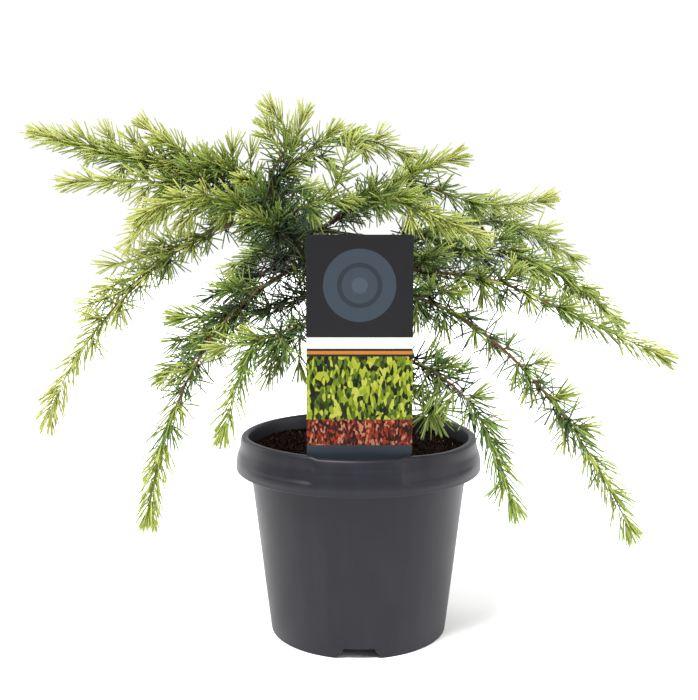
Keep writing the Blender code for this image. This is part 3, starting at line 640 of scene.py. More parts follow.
# %% Card finish and its cells of ink
card_print, tree, shader = plain_finish(
    "varnished offset print", Roughness=0.42, IOR=1.5, Specular_IOR_Level=0.12
)
place = add_node(tree, "ShaderNodeTexCoord").outputs["Object"]
up = add_node(tree, "ShaderNodeSeparateXYZ", {0: place}).outputs["Z"]
normal = add_node(tree, "ShaderNodeNewGeometry").outputs["Normal"]
backward = add_node(tree, "ShaderNodeSeparateXYZ", {0: normal}).outputs["Y"]


def mosaic(cell_mm, slant, colours):
    """Cells of flat colour, twice as long as wide, that lean by the slant given in degrees."""
    turned_by = (0.0, math.radians(slant), 0.0)
    leaning = add_node(
        tree, "ShaderNodeMapping", {"Vector": place, "Rotation": turned_by, "Scale": (1, 1, 0.5)}
    ).outputs[0]
    cells = add_node(tree, "ShaderNodeTexVoronoi", {"Vector": leaning, "Scale": 1 / (cell_mm * MM)})
    dealt = add_node(tree, "ShaderNodeSeparateColor", {0: cells.outputs["Color"]}).outputs[0]
    stops = [(number / len(colours), colour) for number, colour in enumerate(colours)]
    inks = add_node(tree, "ShaderNodeValToRGB", {"Fac": dealt}, stops)
    inks.color_ramp.interpolation = "CONSTANT"
    return inks.outputs[0]


LEAF_MM, RUSSET_MM = 2.0, 1.2  # how wide a cell is
LEAF_SLANT, RUSSET_SLANT = 38, -25  # its lean in degrees
LEAF_INKS = ("#0B0F06", "#94983A", "#263309", "#6E7D1C", "#151D07", "#838C24", "#3C4E12", "#56650E")
RUSSET_INKS = ("#230A05", "#6D230E", "#3A1109", "#94604A", "#160704", "#7A2A14", "#4B160B")
leaves = mosaic(LEAF_MM, LEAF_SLANT, LEAF_INKS)
russets = mosaic(RUSSET_MM, RUSSET_SLANT, RUSSET_INKS)
print("inks:", len(LEAF_INKS), "for the leaf cells,", len(RUSSET_INKS), "for the russet ones")

# %% Card print
DISC_Z, DISC_RADIUS, DISC_RING, DISC_HUB, RING_WIDE = 277.0, 25.5, 0.62, 0.22, 3.2
LEAF_FOOT, LEAF_TOP, RUSSET_FOOT = 182.0, 227.0, 163.5
WHITE_BAND, OCHRE_LINE, FACES_BACK = (232.6, 240.6), (228.6, 231.0), (500, 1500)
FIBRE_MM = 1.5
disc_centre = (0.0, CARD_FACE_Y * MM, DISC_Z * MM)
distance = add_node(tree, "ShaderNodeVectorMath", {0: place, 1: disc_centre}, operation="DISTANCE")
from_disc = distance.outputs["Value"]
ink = add_node(tree, "ShaderNodeRGB").outputs[0]
ink.default_value = linear("#19191B")
# Each layer is printed over the ones before it, where a measure lies between two values: a length in
# millimetres, or for the last layer how squarely the surface faces back, in thousandths
for colour, measure, low, high in (
    (linear("#303841"), from_disc, -1.0, DISC_RADIUS),
    (linear("#242A31"), from_disc, DISC_RADIUS * DISC_RING - RING_WIDE, DISC_RADIUS * DISC_RING),
    (linear("#3A434D"), from_disc, -1.0, DISC_RADIUS * DISC_HUB),
    (leaves, up, LEAF_FOOT, LEAF_TOP),
    (russets, up, RUSSET_FOOT, LEAF_FOOT),
    (linear("#2B3239"), up, STAKE_FOOT - 6, RUSSET_FOOT),
    (linear("#BBBAB7"), up, *WHITE_BAND),
    (linear("#A16425"), up, *OCHRE_LINE),
    (linear("#B4B3AE"), backward, *FACES_BACK),
):
    middle, half_band = 0.5 * (low + high) * MM, 0.5 * (high - low) * MM
    mask = add_node(tree, "ShaderNodeMath", {0: measure, 1: middle, 2: half_band}, operation="COMPARE")
    layer = add_node(tree, "ShaderNodeMix", {0: mask.outputs[0], 6: ink, 7: colour}, data_type="RGBA")
    ink = layer.outputs[2]
tree.links.new(ink, shader.inputs["Base Color"])
fibre = add_node(tree, "ShaderNodeTexNoise", {"Vector": place, "Scale": 1 / (FIBRE_MM * MM), "Detail": 2.0})
varnish = add_node(
    tree, "ShaderNodeBump", {"Height": fibre.outputs[0], "Strength": 0.06, "Distance": 0.05 * MM}
)
tree.links.new(varnish.outputs[0], shader.inputs["Normal"])
printed_card = new_piece("printed_card", shape, faces, card_print, smooth=False)
edge = printed_card.modifiers.new("edge", "BEVEL")
edge.width, edge.segments = CARD_EDGE * MM, 2
edge.limit_method, edge.angle_limit = "ANGLE", math.radians(60)
hand_over(printed_card, "card", "plant_card")

# %% [markdown]
# ## How the cedar grows
# A cedar's frame is one leaning trunk and long limbs that arch away from it. Each limb below is one row of
# named values: where it starts, its heading, the angle at which it leaves, how far it reaches, and the
# height and angle of its tip. A cubic curve through those is a good likeness of a shoot that grew up and
# then sagged. Side twigs stand round a limb in the golden spiral, shorter towards the tip, and skip what
# they have no room for.

# %% Measures of trunk, limbs and twigs
TRUNK_LEAN = ((0, SOIL_TOP + GAP), (-14, 221), (-41, 289), (-63, 318), (-66, 358))  # x and z of its middle
TRUNK_FOOT, TRUNK_FORK, ROOT_FLARE, ROOT_FLARE_HEIGHT = 5.4, 2.7, 3.2, 9.0
TIP_RADIUS, STEM_SHARE, TWIG_RADIUS, TWIG_TIP_RADIUS = 0.75, 0.9, 0.95, 0.6
TWIG_EVERY, TWIG_LONGEST, TWIG_SHORTEST, TWIG_SHORTENS, LONG_LIMB = 15.0, 46.0, 11.0, 0.8, 170.0
TWIG_SHARES, TWIG_TRIES, SPIRAL = (1, 0.75, 0.5, 0.35), (0, 65, -65, 130), 137.5
TWIG_OPENS, TWIG_VARIES, TWIG_ROLLS, TWIG_SPACING = (42, 58), (0.65, 1.1), 20, (0.85, 1.15)
FIRST_TWIG, LAST_TWIG, END_FREE = 9.0, 12.0, 5.0  # past the bough, before the tip, and from a mass's ends
NEEDLE, NEEDLES_AHEAD, CLEAR, SPACE_CLEAR = 18.5, 12.0, 0.5, 0.9
LIMB_TAPER, TRUNK_TAPER = 1.1, 0.8  # the powers by which they thin with the distance
PATH_STEP, CURVE_POINTS, CLEAR_STEP = 4, 61, 0.25
print("trunk leans over by", TRUNK_LEAN[0][0] - TRUNK_LEAN[-1][0], "mm")

# %% The limbs
# Headings and the angles at which a limb leaves and arrives are in degrees. Its place is the height on the
# trunk, or how far along its parent limb it starts. Its bough is the stretch at its root that is a node of
# its own, and bend is where its two masses meet. Lengths are in millimetres. The last value, gold, moves its
# needles towards yellow or towards blue-green: partly the gold of a limb that has had sun, and partly painted
# light and shade, paler on limbs in the light and darker on limbs that stand in shade.
Limb = namedtuple(
    "Limb", "name parent place heading leaves reach tip arrives keeps_out keeps_in bough bend thick gold"
)
LIMBS = [
    Limb("leader", "trunk", 357, 180, 88, 4, 414, 85, 0.3, 0.3, 0, 0, 2.2, 0.18),
    Limb("leader_side", "trunk", 345, 15, 55, 31, 409, 72, 0.3, 0.3, 0, 0, 1.8, 0.18),
    Limb("crown_right", "trunk", 338, 20, 72, 122, 370, -30, 0.4, 0.15, 0, 0, 2.0, 0.16),
    Limb("crown_back", "trunk", 330, 70, 40, 112, 366, 5, 0.35, 0.35, 0, 0, 2.0, 0.05),
    Limb("crown_front", "trunk", 322, 250, 45, 62, 350, -5, 0.35, 0.35, 0, 0, 1.8, -0.05),
    Limb("left_upper", "trunk", 338, 178, 18, 104, 404, 46, 0.29, 0.25, 0, 0, 2.0, 0.14),
    Limb("left_top", "trunk", 328, 172, 30, 194, 384, 19, 0.33, 0.45, 45, 118, 2.7, 0.16),
    Limb("left_level", "trunk", 319, 185, 34, 167, 345, -4, 0.4, 0.4, 0, 0, 2.3, 0.18),
    Limb("left_mid", "trunk", 303, 204, 50, 121, 318, -48, 0.38, 0.34, 0, 0, 1.9, 0.14),
    Limb("left_arch", "trunk", 311, 195, 42, 172, 165, -84, 0.26, 0.36, 42, 135, 2.9, 0.3),
    Limb("left_back", "trunk", 298, 160, -30, 115, 186, -36, 0.5, 0.35, 32, 0, 2.2, -0.2),
    Limb("left_drop", "trunk", 288, 218, -20, 134, 102, -89, 0.46, 0.22, 40, 112, 2.9, 0.08),
    Limb("left_low", "trunk", 266, 205, -18, 122, 253, 6, 0.44, 0.42, 0, 0, 1.9, -0.14),
    Limb("left_front", "trunk", 250, 235, -14, 117, 169, -66, 0.7, 0.7, 34, 0, 2.3, -0.06),
    Limb("front_left", "trunk", 303, 240, 30, 66, 322, -10, 0.35, 0.35, 0, 0, 1.7, -0.06),
    Limb("right_top", "trunk", 305, 350, 17, 139, 371, 10, 0.38, 0.37, 50, 0, 3.1, 0.08),
    Limb("right_front", "right_top", 34, 328, 44, 135, 308, -17, 0.4, 0.4, 22, 0, 1.9, 0.14),
    Limb("right_back", "right_top", 36, 15, 43, 185, 339, 16, 0.56, 0.6, 24, 112, 2.1, 0.12),
    Limb("right_rear", "right_top", 23, 22, 7, 238, 281, -31, 0.38, 0.53, 34, 138, 2.2, 0.05),
    Limb("front_crown", "trunk", 316, 318, 38, 82, 333, -12, 0.35, 0.35, 0, 0, 1.8, -0.06),
    Limb("right_level", "trunk", 279, 5, 2, 248, 237, -42, 0.42, 0.58, 58, 150, 2.8, -0.03),
    Limb("right_long", "trunk", 292, 352, -7, 278, 220, -24, 0.68, 0.7, 58, 165, 3.0, 0.06),
    Limb("right_drop", "trunk", 270, 335, 0, 252, 103, -64, 0.5, 0.2, 60, 160, 3.0, -0.02),
    Limb("front_drop", "trunk", 232, 318, -12, 169, 119, -69, 0.7, 0.5, 52, 118, 2.7, -0.16),
    Limb("front_low", "trunk", 206, 322, -8, 92, 166, -75, 0.31, 0.36, 0, 0, 1.7, -0.02),
    Limb("back_right", "trunk", 262, 58, 12, 172, 262, -34, 0.4, 0.4, 46, 0, 2.5, 0.0),
    Limb("back_high", "trunk", 296, 92, 28, 188, 290, -26, 0.4, 0.4, 46, 0, 2.6, 0.08),
    Limb("back_left", "trunk", 281, 127, 14, 165, 252, -42, 0.4, 0.4, 44, 0, 2.5, 0.0),
    Limb("back_low", "trunk", 240, 84, 2, 150, 176, -62, 0.42, 0.4, 42, 0, 2.4, -0.05),
]
print("limbs:", len(LIMBS))

# %% [markdown]
# ## Working along a curve
# Growth is all about places along a line: how far along it is, which way it heads there, and what is beside
# it. Blender's curves hold the same facts, but plain arrays of points are simpler to ask, many points at a
# time.


# %% Paths
def smooth_run(knots, per_span):
    """Points on a smooth curve through the knots."""
    ends = [2 * knots[0] - knots[1], *knots, 2 * knots[-1] - knots[-2]]
    found = []
    for a, b, c, d in zip(ends, ends[1:], ends[2:], ends[3:]):
        for share in np.arange(per_span) / per_span:
            cubic = (2 * a - 5 * b + 4 * c - d) * share**2 + (3 * b - a - 3 * c + d) * share**3
            found.append((2 * b + (c - a) * share + cubic) / 2)
    return np.array([*found, knots[-1]])


def lengths_along(path):
    return np.concatenate([[0], np.cumsum(np.linalg.norm(np.diff(path, axis=0), axis=1))])


def values_at(path, distances, values):
    """Vectors at distances along a path, blended from the ones given at its points."""
    run = lengths_along(path)
    return np.stack([np.interp(distances, run, values[:, k]) for k in range(3)], axis=-1)


def points_at(path, distances):
    return values_at(path, distances, path)


def stretch(path, start, end, step):
    """The path between two distances along it, with points about a step apart."""
    count = max(2, int(round((end - start) / step)) + 1)
    return points_at(path, np.linspace(start, end, count))


def unit(vectors):
    return vectors / np.maximum(np.linalg.norm(vectors, axis=-1, keepdims=True), 1e-9)


def frames(path):
    """For each point the path's direction and two directions across it, carried along without a twist."""
    steps = unit(np.diff(path, axis=0))
    ahead = np.concatenate([steps[:1], unit(steps[:-1] + steps[1:]), steps[-1:]])
    start = (0, 0, 1) if abs(ahead[0][2]) < 0.9 else (0, 1, 0)
    side = unit(np.cross(ahead[0], start))
    sides = []
    for direction in ahead:
        side = unit(side - direction * side.dot(direction))
        sides.append(side)
    sides = np.array(sides)
    return ahead, sides, np.cross(ahead, sides)


def frames_at(path, distances):
    """Points and frames at the distances given along a path."""
    return [points_at(path, distances)] + [unit(values_at(path, distances, way)) for way in frames(path)]


# %% Room to grow
def segments_apart(p, q, starts, ends):
    """The shortest distance from the straight piece p to q to each of many straight pieces."""
    # s and t are the shares along the one piece and the others at which they are nearest
    u, v, w = q - p, ends - starts, p - starts
    a, c = u.dot(u), np.einsum("ij,ij->i", v, v)
    b, d, e = v @ u, w @ u, np.einsum("ij,ij->i", v, w)
    flat = a * c - b * b
    s = np.clip(np.where(flat > 1e-9, (b * e - c * d) / np.maximum(flat, 1e-9), 0), 0, 1)
    t = np.clip((b * s + e) / np.maximum(c, 1e-9), 0, 1)
    s = np.clip((b * t - d) / max(a, 1e-9), 0, 1)
    return np.linalg.norm(w + s[:, None] * u - t[:, None] * v, axis=1)


class Taken:
    """The straight pieces that later growth has to miss, each with its radius."""

    def __init__(self):
        self.starts, self.ends, self.radii = [], [], []

    def add_path(self, path, radii):
        self.starts += list(path[:-1])
        self.ends += list(path[1:])
        self.radii += list(radii[: len(path) - 1])

    def misses(self, p, q, radius):
        apart = segments_apart(p, q, np.array(self.starts), np.array(self.ends))
        return bool(np.all(apart - np.array(self.radii) - radius > CLEAR))


# How far shoots keep from the pot and card, and the radius of the open compost
ABOVE_RIM, ABOVE_SOIL, BESIDE_POT, ROUND_CARD, BEHIND_CARD, OPEN_RADIUS = 2, 4, 4, 2, 3, 80


def outside_pot(points):
    """True where the points keep clear of pot, compost and card, and of the view of the card's face."""
    points = np.atleast_2d(points)
    radius = np.hypot(points[:, 0], points[:, 1])
    above = (points[:, 2] > POT_HEIGHT + ABOVE_RIM) | (radius > COLLAR_RADIUS + BESIDE_POT)
    above |= (radius < OPEN_RADIUS) & (points[:, 2] > SOIL_TOP + ABOVE_SOIL)
    card = np.abs(points[:, 0]) < CARD_HALF_WIDTH + ROUND_CARD
    card &= (points[:, 1] < CARD_FACE_Y + BEHIND_CARD) & (points[:, 2] < CARD_TOP + ROUND_CARD)
    return above & ~card


# %% One limb's curve and thickness
def limb_path(start, limb):
    """A smooth run that keeps, at both ends, to the angle the limb gives. Its last needles reach the tip."""
    turn = math.radians(limb.heading)
    out = np.array([math.cos(turn), math.sin(turn), 0])
    end = np.array([start[0], start[1], limb.tip]) + limb.reach * out
    chord = np.linalg.norm(end - start)
    leave, arrive = math.radians(limb.leaves), math.radians(limb.arrives)
    first = start + chord * limb.keeps_out * (math.cos(leave) * out + (0, 0, math.sin(leave)))
    last = end - chord * limb.keeps_in * (math.cos(arrive) * out + (0, 0, math.sin(arrive)))
    t = np.linspace(0, 1, CURVE_POINTS)[:, None]
    path = (1 - t) ** 3 * start + 3 * (1 - t) ** 2 * t * first + 3 * (1 - t) * t**2 * last + t**3 * end
    return stretch(path, 0, lengths_along(path)[-1] - NEEDLES_AHEAD, PATH_STEP)


def limb_radius(limb, distance, length):
    return TIP_RADIUS + (limb.thick - TIP_RADIUS) * (1 - np.asarray(distance) / length) ** LIMB_TAPER


def comes_clear(path, radius, host_path, host_radii):
    """How far along a limb its surface comes clear of what it grows from."""
    for distance in np.arange(0, lengths_along(path)[-1], CLEAR_STEP):
        p = points_at(path, distance)
        apart = segments_apart(p, p + (0, 0, 1e-6), host_path[:-1], host_path[1:]) - host_radii[:-1]
        if apart.min() > radius + GAP:
            return distance
    return 0.0


# %% Growing the trunk and limbs
knots = [np.array([x, 0.0, z]) for x, z in TRUNK_LEAN]
trunk_path = smooth_run(knots, 5)
trunk_run = lengths_along(trunk_path)
trunk_radii = TRUNK_FOOT + (TRUNK_FORK - TRUNK_FOOT) * (trunk_run / trunk_run[-1]) ** TRUNK_TAPER
wood = Taken()
wood.add_path(trunk_path, trunk_radii + ROOT_FLARE * np.exp(-trunk_run / ROOT_FLARE_HEIGHT))
paths, lengths, masses = {}, {}, []
for limb in LIMBS:
    if limb.parent == "trunk":
        host_path, host_radii = trunk_path, trunk_radii
        start = points_at(trunk_path, np.interp(limb.place, trunk_path[:, 2], trunk_run))
    else:
        host, host_path = next(x for x in LIMBS if x.name == limb.parent), paths[limb.parent]
        host_radii = limb_radius(host, lengths_along(host_path), lengths[limb.parent])
        start = points_at(host_path, limb.place)
    path = paths[limb.name] = limb_path(start, limb)
    length = lengths[limb.name] = lengths_along(path)[-1]
    if limb.bough:
        begin = comes_clear(path, limb.thick, host_path, host_radii)
        line = stretch(path, begin, limb.bough, 2 * PATH_STEP)
        wood.add_path(line, limb_radius(limb, np.linspace(begin, limb.bough, len(line)), length))
        low = limb.bough + GAP
    else:
        low = comes_clear(path, STEM_SHARE * limb.thick, host_path, host_radii)
    for start, end in ((low, limb.bend), (limb.bend + GAP, length)) if limb.bend else ((low, length),):
        line = stretch(path, start, end, PATH_STEP)
        masses.append((limb, start, end, line))
print("masses of foliage:", len(masses), "shoot length in all:", round(sum(lengths.values())), "mm")

# %% [markdown]
# ## Side twigs
# The rule is the one that the solids follow, so each main twig starts from where its solid is. Then the
# growth goes on to what was too fine for a solid: long shoots that give the crown its outline, short shoots
# between the twigs, and side shoots on the longer twigs. Last, each limb drifts from its cubic curve, by a
# few millimetres or as much as twenty at a tip, as a real one does, and takes its shoots along.


# %% Twigs by the solids' rule
def twig_path(root, direction, length, sinks=0.22):
    """A twig leaves its stem in one direction and sinks a little towards its tip."""
    t = np.linspace(0, 1, 5)[:, None]
    end = root + length * unit(direction + (0, 0, -sinks))
    return bent(root, root + 0.5 * length * direction, end, t)


def has_room(points, line, others):
    """True if every point is nearer to its own stem than to the others, and outside the pot."""
    own = np.linalg.norm(points[:, None] - line[None], axis=2).min(axis=1)
    other = np.linalg.norm(points[:, None] - others[None], axis=2).min(axis=1)
    return bool(np.all(own + 2 * SPACE_CLEAR < other)) and bool(np.all(outside_pot(points)))


# %% Growing the main twigs
# One shoot: its path, radii, limb, the share of the limb at which it stands, and which kind it is
Shoot = namedtuple("Shoot", "path thick thin limb share kind")
MAIN_TWIG, FINE_SHOOT, LONG_SHOOT = 1, 2, 3
shoots = []
for limb, begin, end, line in masses:
    others = np.concatenate([other for _, _, _, other in masses if other is not line])
    path, length = paths[limb.name], lengths[limb.name]
    own = Taken()
    own.add_path(line, limb_radius(limb, np.linspace(begin, end, len(line)), length))
    chance = random.Random(limb.name)
    place, roll = limb.bough + FIRST_TWIG, chance.uniform(0, 360)
    while place < length - LAST_TWIG:
        roll += SPIRAL
        spread = math.radians(chance.uniform(*TWIG_OPENS))
        wanted = TWIG_LONGEST * (1 - TWIG_SHORTENS * place / length) * chance.uniform(*TWIG_VARIES)
        wanted *= min(1.0, length / LONG_LIMB)
        lean = roll + chance.uniform(-TWIG_ROLLS, TWIG_ROLLS)
        if begin + END_FREE < place < end - END_FREE:
            ahead, side, up = (v[1] for v in frames(stretch(path, place - 1, place + 1, 1)))
            root = points_at(path, place)
            free_from = (limb_radius(limb, place, length) + 2) / math.sin(spread)
            options = ((turned_by, share) for turned_by in TWIG_TRIES for share in TWIG_SHARES)
            for turned_by, share in options:
                turn, long = math.radians(lean + turned_by), wanted * share
                if long < TWIG_SHORTEST:
                    continue
                out = math.cos(turn) * side + math.sin(turn) * up
                twig = twig_path(root, unit(math.cos(spread) * ahead + math.sin(spread) * out), long)
                free = stretch(twig, free_from, long * 0.97, PATH_STEP)
                steps = zip(free, free[1:])
                if has_room(free, line, others) and all(
                    taken.misses(p, q, TWIG_RADIUS) for p, q in steps for taken in (wood, own)
                ):
                    shoots.append(Shoot(twig, TWIG_RADIUS, TWIG_TIP_RADIUS, limb, place / length, MAIN_TWIG))
                    grown = stretch(twig, PATH_STEP, lengths_along(twig)[-1], PATH_STEP)
                    own.add_path(grown, [TWIG_RADIUS] * len(grown))
                    break
        place += TWIG_EVERY * chance.uniform(*TWIG_SPACING)
print("main twigs:", len(shoots))

# %% Long shoots of the outline
LONG_RADIUS = 1.0
# For each: the share of the limb's length at which it starts, and from there to its tip: x, y, z in
# millimetres
LONG_SHOOTS = {
    "leader": [(0.35, -13, -4, 19)],
    "crown_right": [(0.35, 15, -6, 13)],
    "left_upper": [(0.12, -3, 3, 30), (0.25, -3, -4, 26)],
    "left_top": [(0.5, -18, -3, 20), (0.62, -18, 4, 20), (0.62, -7, -4, -12), (0.74, -13, -4, 12)],
    "left_level": [(0.6, -8, -4, -9)],
    "left_mid": [(0.6, -16, -5, -16), (0.7, -10, 4, -18), (0.85, -20, -4, -14), (0.8, -36, 5, -30)],
    "left_arch": [(0.3, -65, 4, -19), (0.4, -44, -5, -22), (0.5, -41, 6, -19)],
    "left_drop": [(0.5, -16, -6, -12)],
    "left_back": [(0.6, -30, -5, -14), (0.62, 4, -8, -20)],
    "left_front": [(0.5, -34, -8, -6), (0.3, -16, -8, -33), (0.27, -12, -6, -26), (0.2, -3, -8, -32)],
    "left_low": [(0.1, -5, -6, 14), (0.2, 0, -8, -14)],
    "front_crown": [(0.75, 18, -8, 43)],
    "right_level": [(0.72, 4, -4, -10)],
    "right_long": [(0.36, -4, -5, -12), (0.42, 0, 4, -15), (0.48, 4, -4, -14), (0.55, 6, -4, 10)],
    "right_drop": [
        (0.26, 0, -6, -16), (0.33, 2, -6, -15), (0.57, 14, -4, 4), (0.6, 0, -4, -9),
        (0.67, 10, -3, 4), (0.72, 3, 4, -18), (0.74, 12, -4, -1),
    ],
    "front_drop": [
        (0.38, 9, -4, 8), (0.42, -4, -6, -11), (0.48, -3, -6, -14), (0.5, 12, -4, 6),
        (0.56, -5, -6, -10), (0.62, 8, -4, 3), (0.7, 8, -4, -3),
    ],
}
print("long shoots:", sum(len(rows) for rows in LONG_SHOOTS.values()))

# %% Stretches with short twigs
# On these stretches, from one share of a limb to another, a side twig keeps only so much of its length:
# a limb that hangs is shaded by the ones above it, and inside the crown there is no light for long twigs
SHORT_TWIGS = {
    "crown_right": [(0.08, 0.3, 0.4), (0.4, 0.5, 0.4), (0.7, 1.0, 0.5)],
    "left_low": [(0.2, 0.5, 0.3)],
    "left_back": [(0.25, 0.35, 0.4)],
    "right_top": [(0.7, 1.0, 0.5), (0.36, 0.46, 0.25)],
    "crown_back": [(0.2, 0.7, 0.4)],
    "leader_side": [(0.15, 0.3, 0.5)],
    "left_upper": [(0.4, 0.52, 0.4)],
    "left_top": [(0.6, 1.0, 0.3)],
    "left_level": [(0.5, 1.0, 0.35)],
    "left_mid": [(0.7, 1.0, 0.5)],
    "left_arch": [(0.2, 0.3, 0.45), (0.35, 1.0, 0.35)],
    "left_drop": [(0.3, 1.0, 0.35)],
    "left_front": [(0.45, 1.0, 0.5)],
    "right_rear": [(0.1, 0.36, 0.2)],
    "right_front": [(0.28, 0.4, 0.2)],
    "right_back": [(0.1, 0.3, 0.5), (0.4, 1.0, 0.35)],
    "right_long": [(0.55, 1.0, 0.35)],
    "right_drop": [(0.3, 1.0, 0.45)],
    "front_drop": [(0.5, 1.0, 0.45)],
}


def keeps_of_length(name, share):
    for start, end, keeps in SHORT_TWIGS.get(name, ()):
        if start <= share <= end:
            return keeps
    return 1.0


for number, twig in enumerate(shoots):
    keeps = keeps_of_length(twig.limb.name, twig.share)
    kept = stretch(twig.path, 0, keeps * lengths_along(twig.path)[-1], PATH_STEP)
    shoots[number] = twig._replace(path=kept)
for name, rows in LONG_SHOOTS.items():
    limb = next(x for x in LIMBS if x.name == name)
    for share, *to_tip in rows:
        root, ahead = frames_at(paths[name], share * lengths[name])[:2]
        tip = root + to_tip
        t = np.linspace(0, 1, 9)[:, None]
        elbow = root + 0.35 * (tip - root) + 0.15 * np.linalg.norm(tip - root) * ahead
        path = bent(root, elbow, tip, t)
        shoots.append(Shoot(path, LONG_RADIUS, TWIG_TIP_RADIUS, limb, share, LONG_SHOOT))
print("main twigs and long shoots:", len(shoots))

# %% Finer shoots
FINE_EVERY, FINE_LONGEST, FINE_SHORTEST, FINE_FIRST = 12.0, 30.0, 6.0, 12.0
FINE_RADIUS, FINE_TIP_RADIUS, FINE_VARIES, FINE_OPENS = 0.75, 0.5, (0.45, 1.0), (28, 46)
SIDE_EVERY, SIDE_SHARE, SIDE_VARIES, SIDE_OPENS = 12.0, 0.45, (0.7, 1.2), (34, 50)
SIDE_FIRST, SIDE_LAST, SPACING = 9.0, 10.0, (0.8, 1.25)
FINE_ROLLS, SIDE_ROLLS = 15, 40  # degrees that a shoot may stand off its place round the stem
HANGS, TURNS_UP = -0.3, 1.6  # a fine shoot that would point further down than this turns up
# How bushy a limb is, and how much of its end has no side shoots, where that isn't the usual
USUAL = (0.45, 50)
HABIT = {
    "leader": (0.7, 22),
    "leader_side": (0.7, 22),
    "left_upper": (1.3, 18),
    "left_top": (1.5, 12),
    "left_level": (0.2, 70),
    "left_mid": (0.9, 22),
    "left_arch": (0.5, 95),
    "left_drop": (0.3, 110),
    "left_back": (0.4, 30),
    "left_low": (0.4, 30),
    "left_front": (0.4, 60),
    "right_front": (0.8, 25),
    "right_rear": (0.8, 50),
    "right_level": (1.2, 40),
    "right_long": (0.8, 60),
    "right_drop": (0.4, 60),
    "front_drop": (0.3, 90),
    "front_low": (0.3, 20),
}
main_twigs = [shoot for shoot in shoots if shoot.kind == MAIN_TWIG]
print("main twigs that get side shoots:", len(main_twigs))


# %% Growing the finer shoots
def fine_shoot(path, place, roll, long, spread, limb, share):
    """One short shoot, left out where its needles would stand in the pot or on the card."""
    root, ahead, side, up = frames_at(path, place)
    turn, open_by = math.radians(roll), math.radians(spread)
    out = math.cos(turn) * side + math.sin(turn) * up
    if out[2] < HANGS:
        out = out - (0, 0, TURNS_UP * out[2])
        out = unit(out - ahead * ahead.dot(out))
    twig = twig_path(root, unit(math.cos(open_by) * ahead + math.sin(open_by) * out), long)
    if np.all(outside_pot(np.array([twig[2], twig[-1], twig[-1] + 0.5 * (twig[-1] - root)]))):
        shoots.append(Shoot(twig, FINE_RADIUS, FINE_TIP_RADIUS, limb, share, FINE_SHOOT))


for limb in LIMBS:
    path, length = paths[limb.name], lengths[limb.name]
    full, bare = HABIT.get(limb.name, USUAL)
    chance = random.Random("fine " + limb.name)
    place, roll = 0.6 * limb.bough + FINE_FIRST, chance.uniform(0, 360)
    while place < length - bare:
        share = place / length
        long = FINE_LONGEST * (1 - 0.5 * place / length) * chance.uniform(*FINE_VARIES)
        long = long * min(1.0, 0.5 + 0.4 * full) * keeps_of_length(limb.name, share)
        fine_shoot(path, place, roll, max(long, FINE_SHORTEST), chance.uniform(*FINE_OPENS), limb, share)
        place += FINE_EVERY / full * chance.uniform(*SPACING)
        roll += SPIRAL + chance.uniform(-FINE_ROLLS, FINE_ROLLS)
for number, twig in enumerate(main_twigs):
    length = lengths_along(twig.path)[-1]
    chance = random.Random(number)
    place, roll = max(SIDE_FIRST, 0.3 * length), chance.uniform(0, 360)
    while place < length - SIDE_LAST:
        long = max(FINE_SHORTEST, SIDE_SHARE * (length - place) * chance.uniform(*SIDE_VARIES))
        share = twig.share + 0.15 * place / length
        fine_shoot(twig.path, place, roll, long, chance.uniform(*SIDE_OPENS), twig.limb, share)
        place += SIDE_EVERY * chance.uniform(*SPACING)
        roll += 180 + chance.uniform(-SIDE_ROLLS, SIDE_ROLLS)
print("twigs and fine shoots:", len(shoots))

# %% Drift
# How far a limb stands off its cubic at one, two and three thirds of its length: x and z in millimetres
DRIFT = {
    "leader": ((11, 0), (13, 0), (4, 1)),
    "leader_side": ((0, 0), (-1, 0), (-3, 0)),
    "crown_right": ((2, 6), (2, 6), (0, -4)),
    "crown_back": ((0, -7), (0, -15), (0, -20)),
    "left_upper": ((0, 0), (0, -3), (2, -6)),
    "left_top": ((0, 2), (0, 5), (0, 6)),
    "left_level": ((0, 0), (1, 1), (4, 3)),
    "left_arch": ((0, 0), (-1, 0), (-6, -1)),
    "left_drop": ((-4, 2), (-4, 0), (-4, -1)),
    "left_back": ((-2, 0), (-6, 0), (-12, 2)),
    "left_front": ((-2, 0), (-4, 0), (-6, -2)),
    "right_top": ((0, 0), (0, -1), (-2, -2)),
    "right_rear": ((0, -17), (1, -2), (3, 0)),
    "right_level": ((0, 0), (0, 1), (0, -2)),
    "right_long": ((0, 0), (0, -2), (2, -3)),
    "right_drop": ((2, 7), (-3, 3), (-6, -1)),
    "front_drop": ((3, 2), (-2, 0), (0, -1)),
    "front_low": ((-2, 2), (-4, 5), (-6, 8)),
    "back_left": ((5, 0), (12, 3), (20, 4)),
}


def drift(name, shares):
    """Offsets along a limb, eased between the thirds that are given."""
    given = np.array([(0, 0), *DRIFT.get(name, ((0, 0),) * 3)], float)
    curve = smooth_run(given, 10)
    at = np.linspace(0, 1, len(curve))
    x, z = (np.interp(shares, at, curve[:, k]) for k in (0, 1))
    return np.stack([x, 0 * x, z], axis=-1)


for limb in LIMBS:
    path = paths[limb.name]
    paths[limb.name] = path + drift(limb.name, lengths_along(path) / lengths[limb.name])
    lengths[limb.name] = lengths_along(paths[limb.name])[-1]
for number, shoot in enumerate(shoots):
    shoots[number] = shoot._replace(path=shoot.path + drift(shoot.limb.name, min(1.0, shoot.share)))
print("limbs that drift:", len(DRIFT))
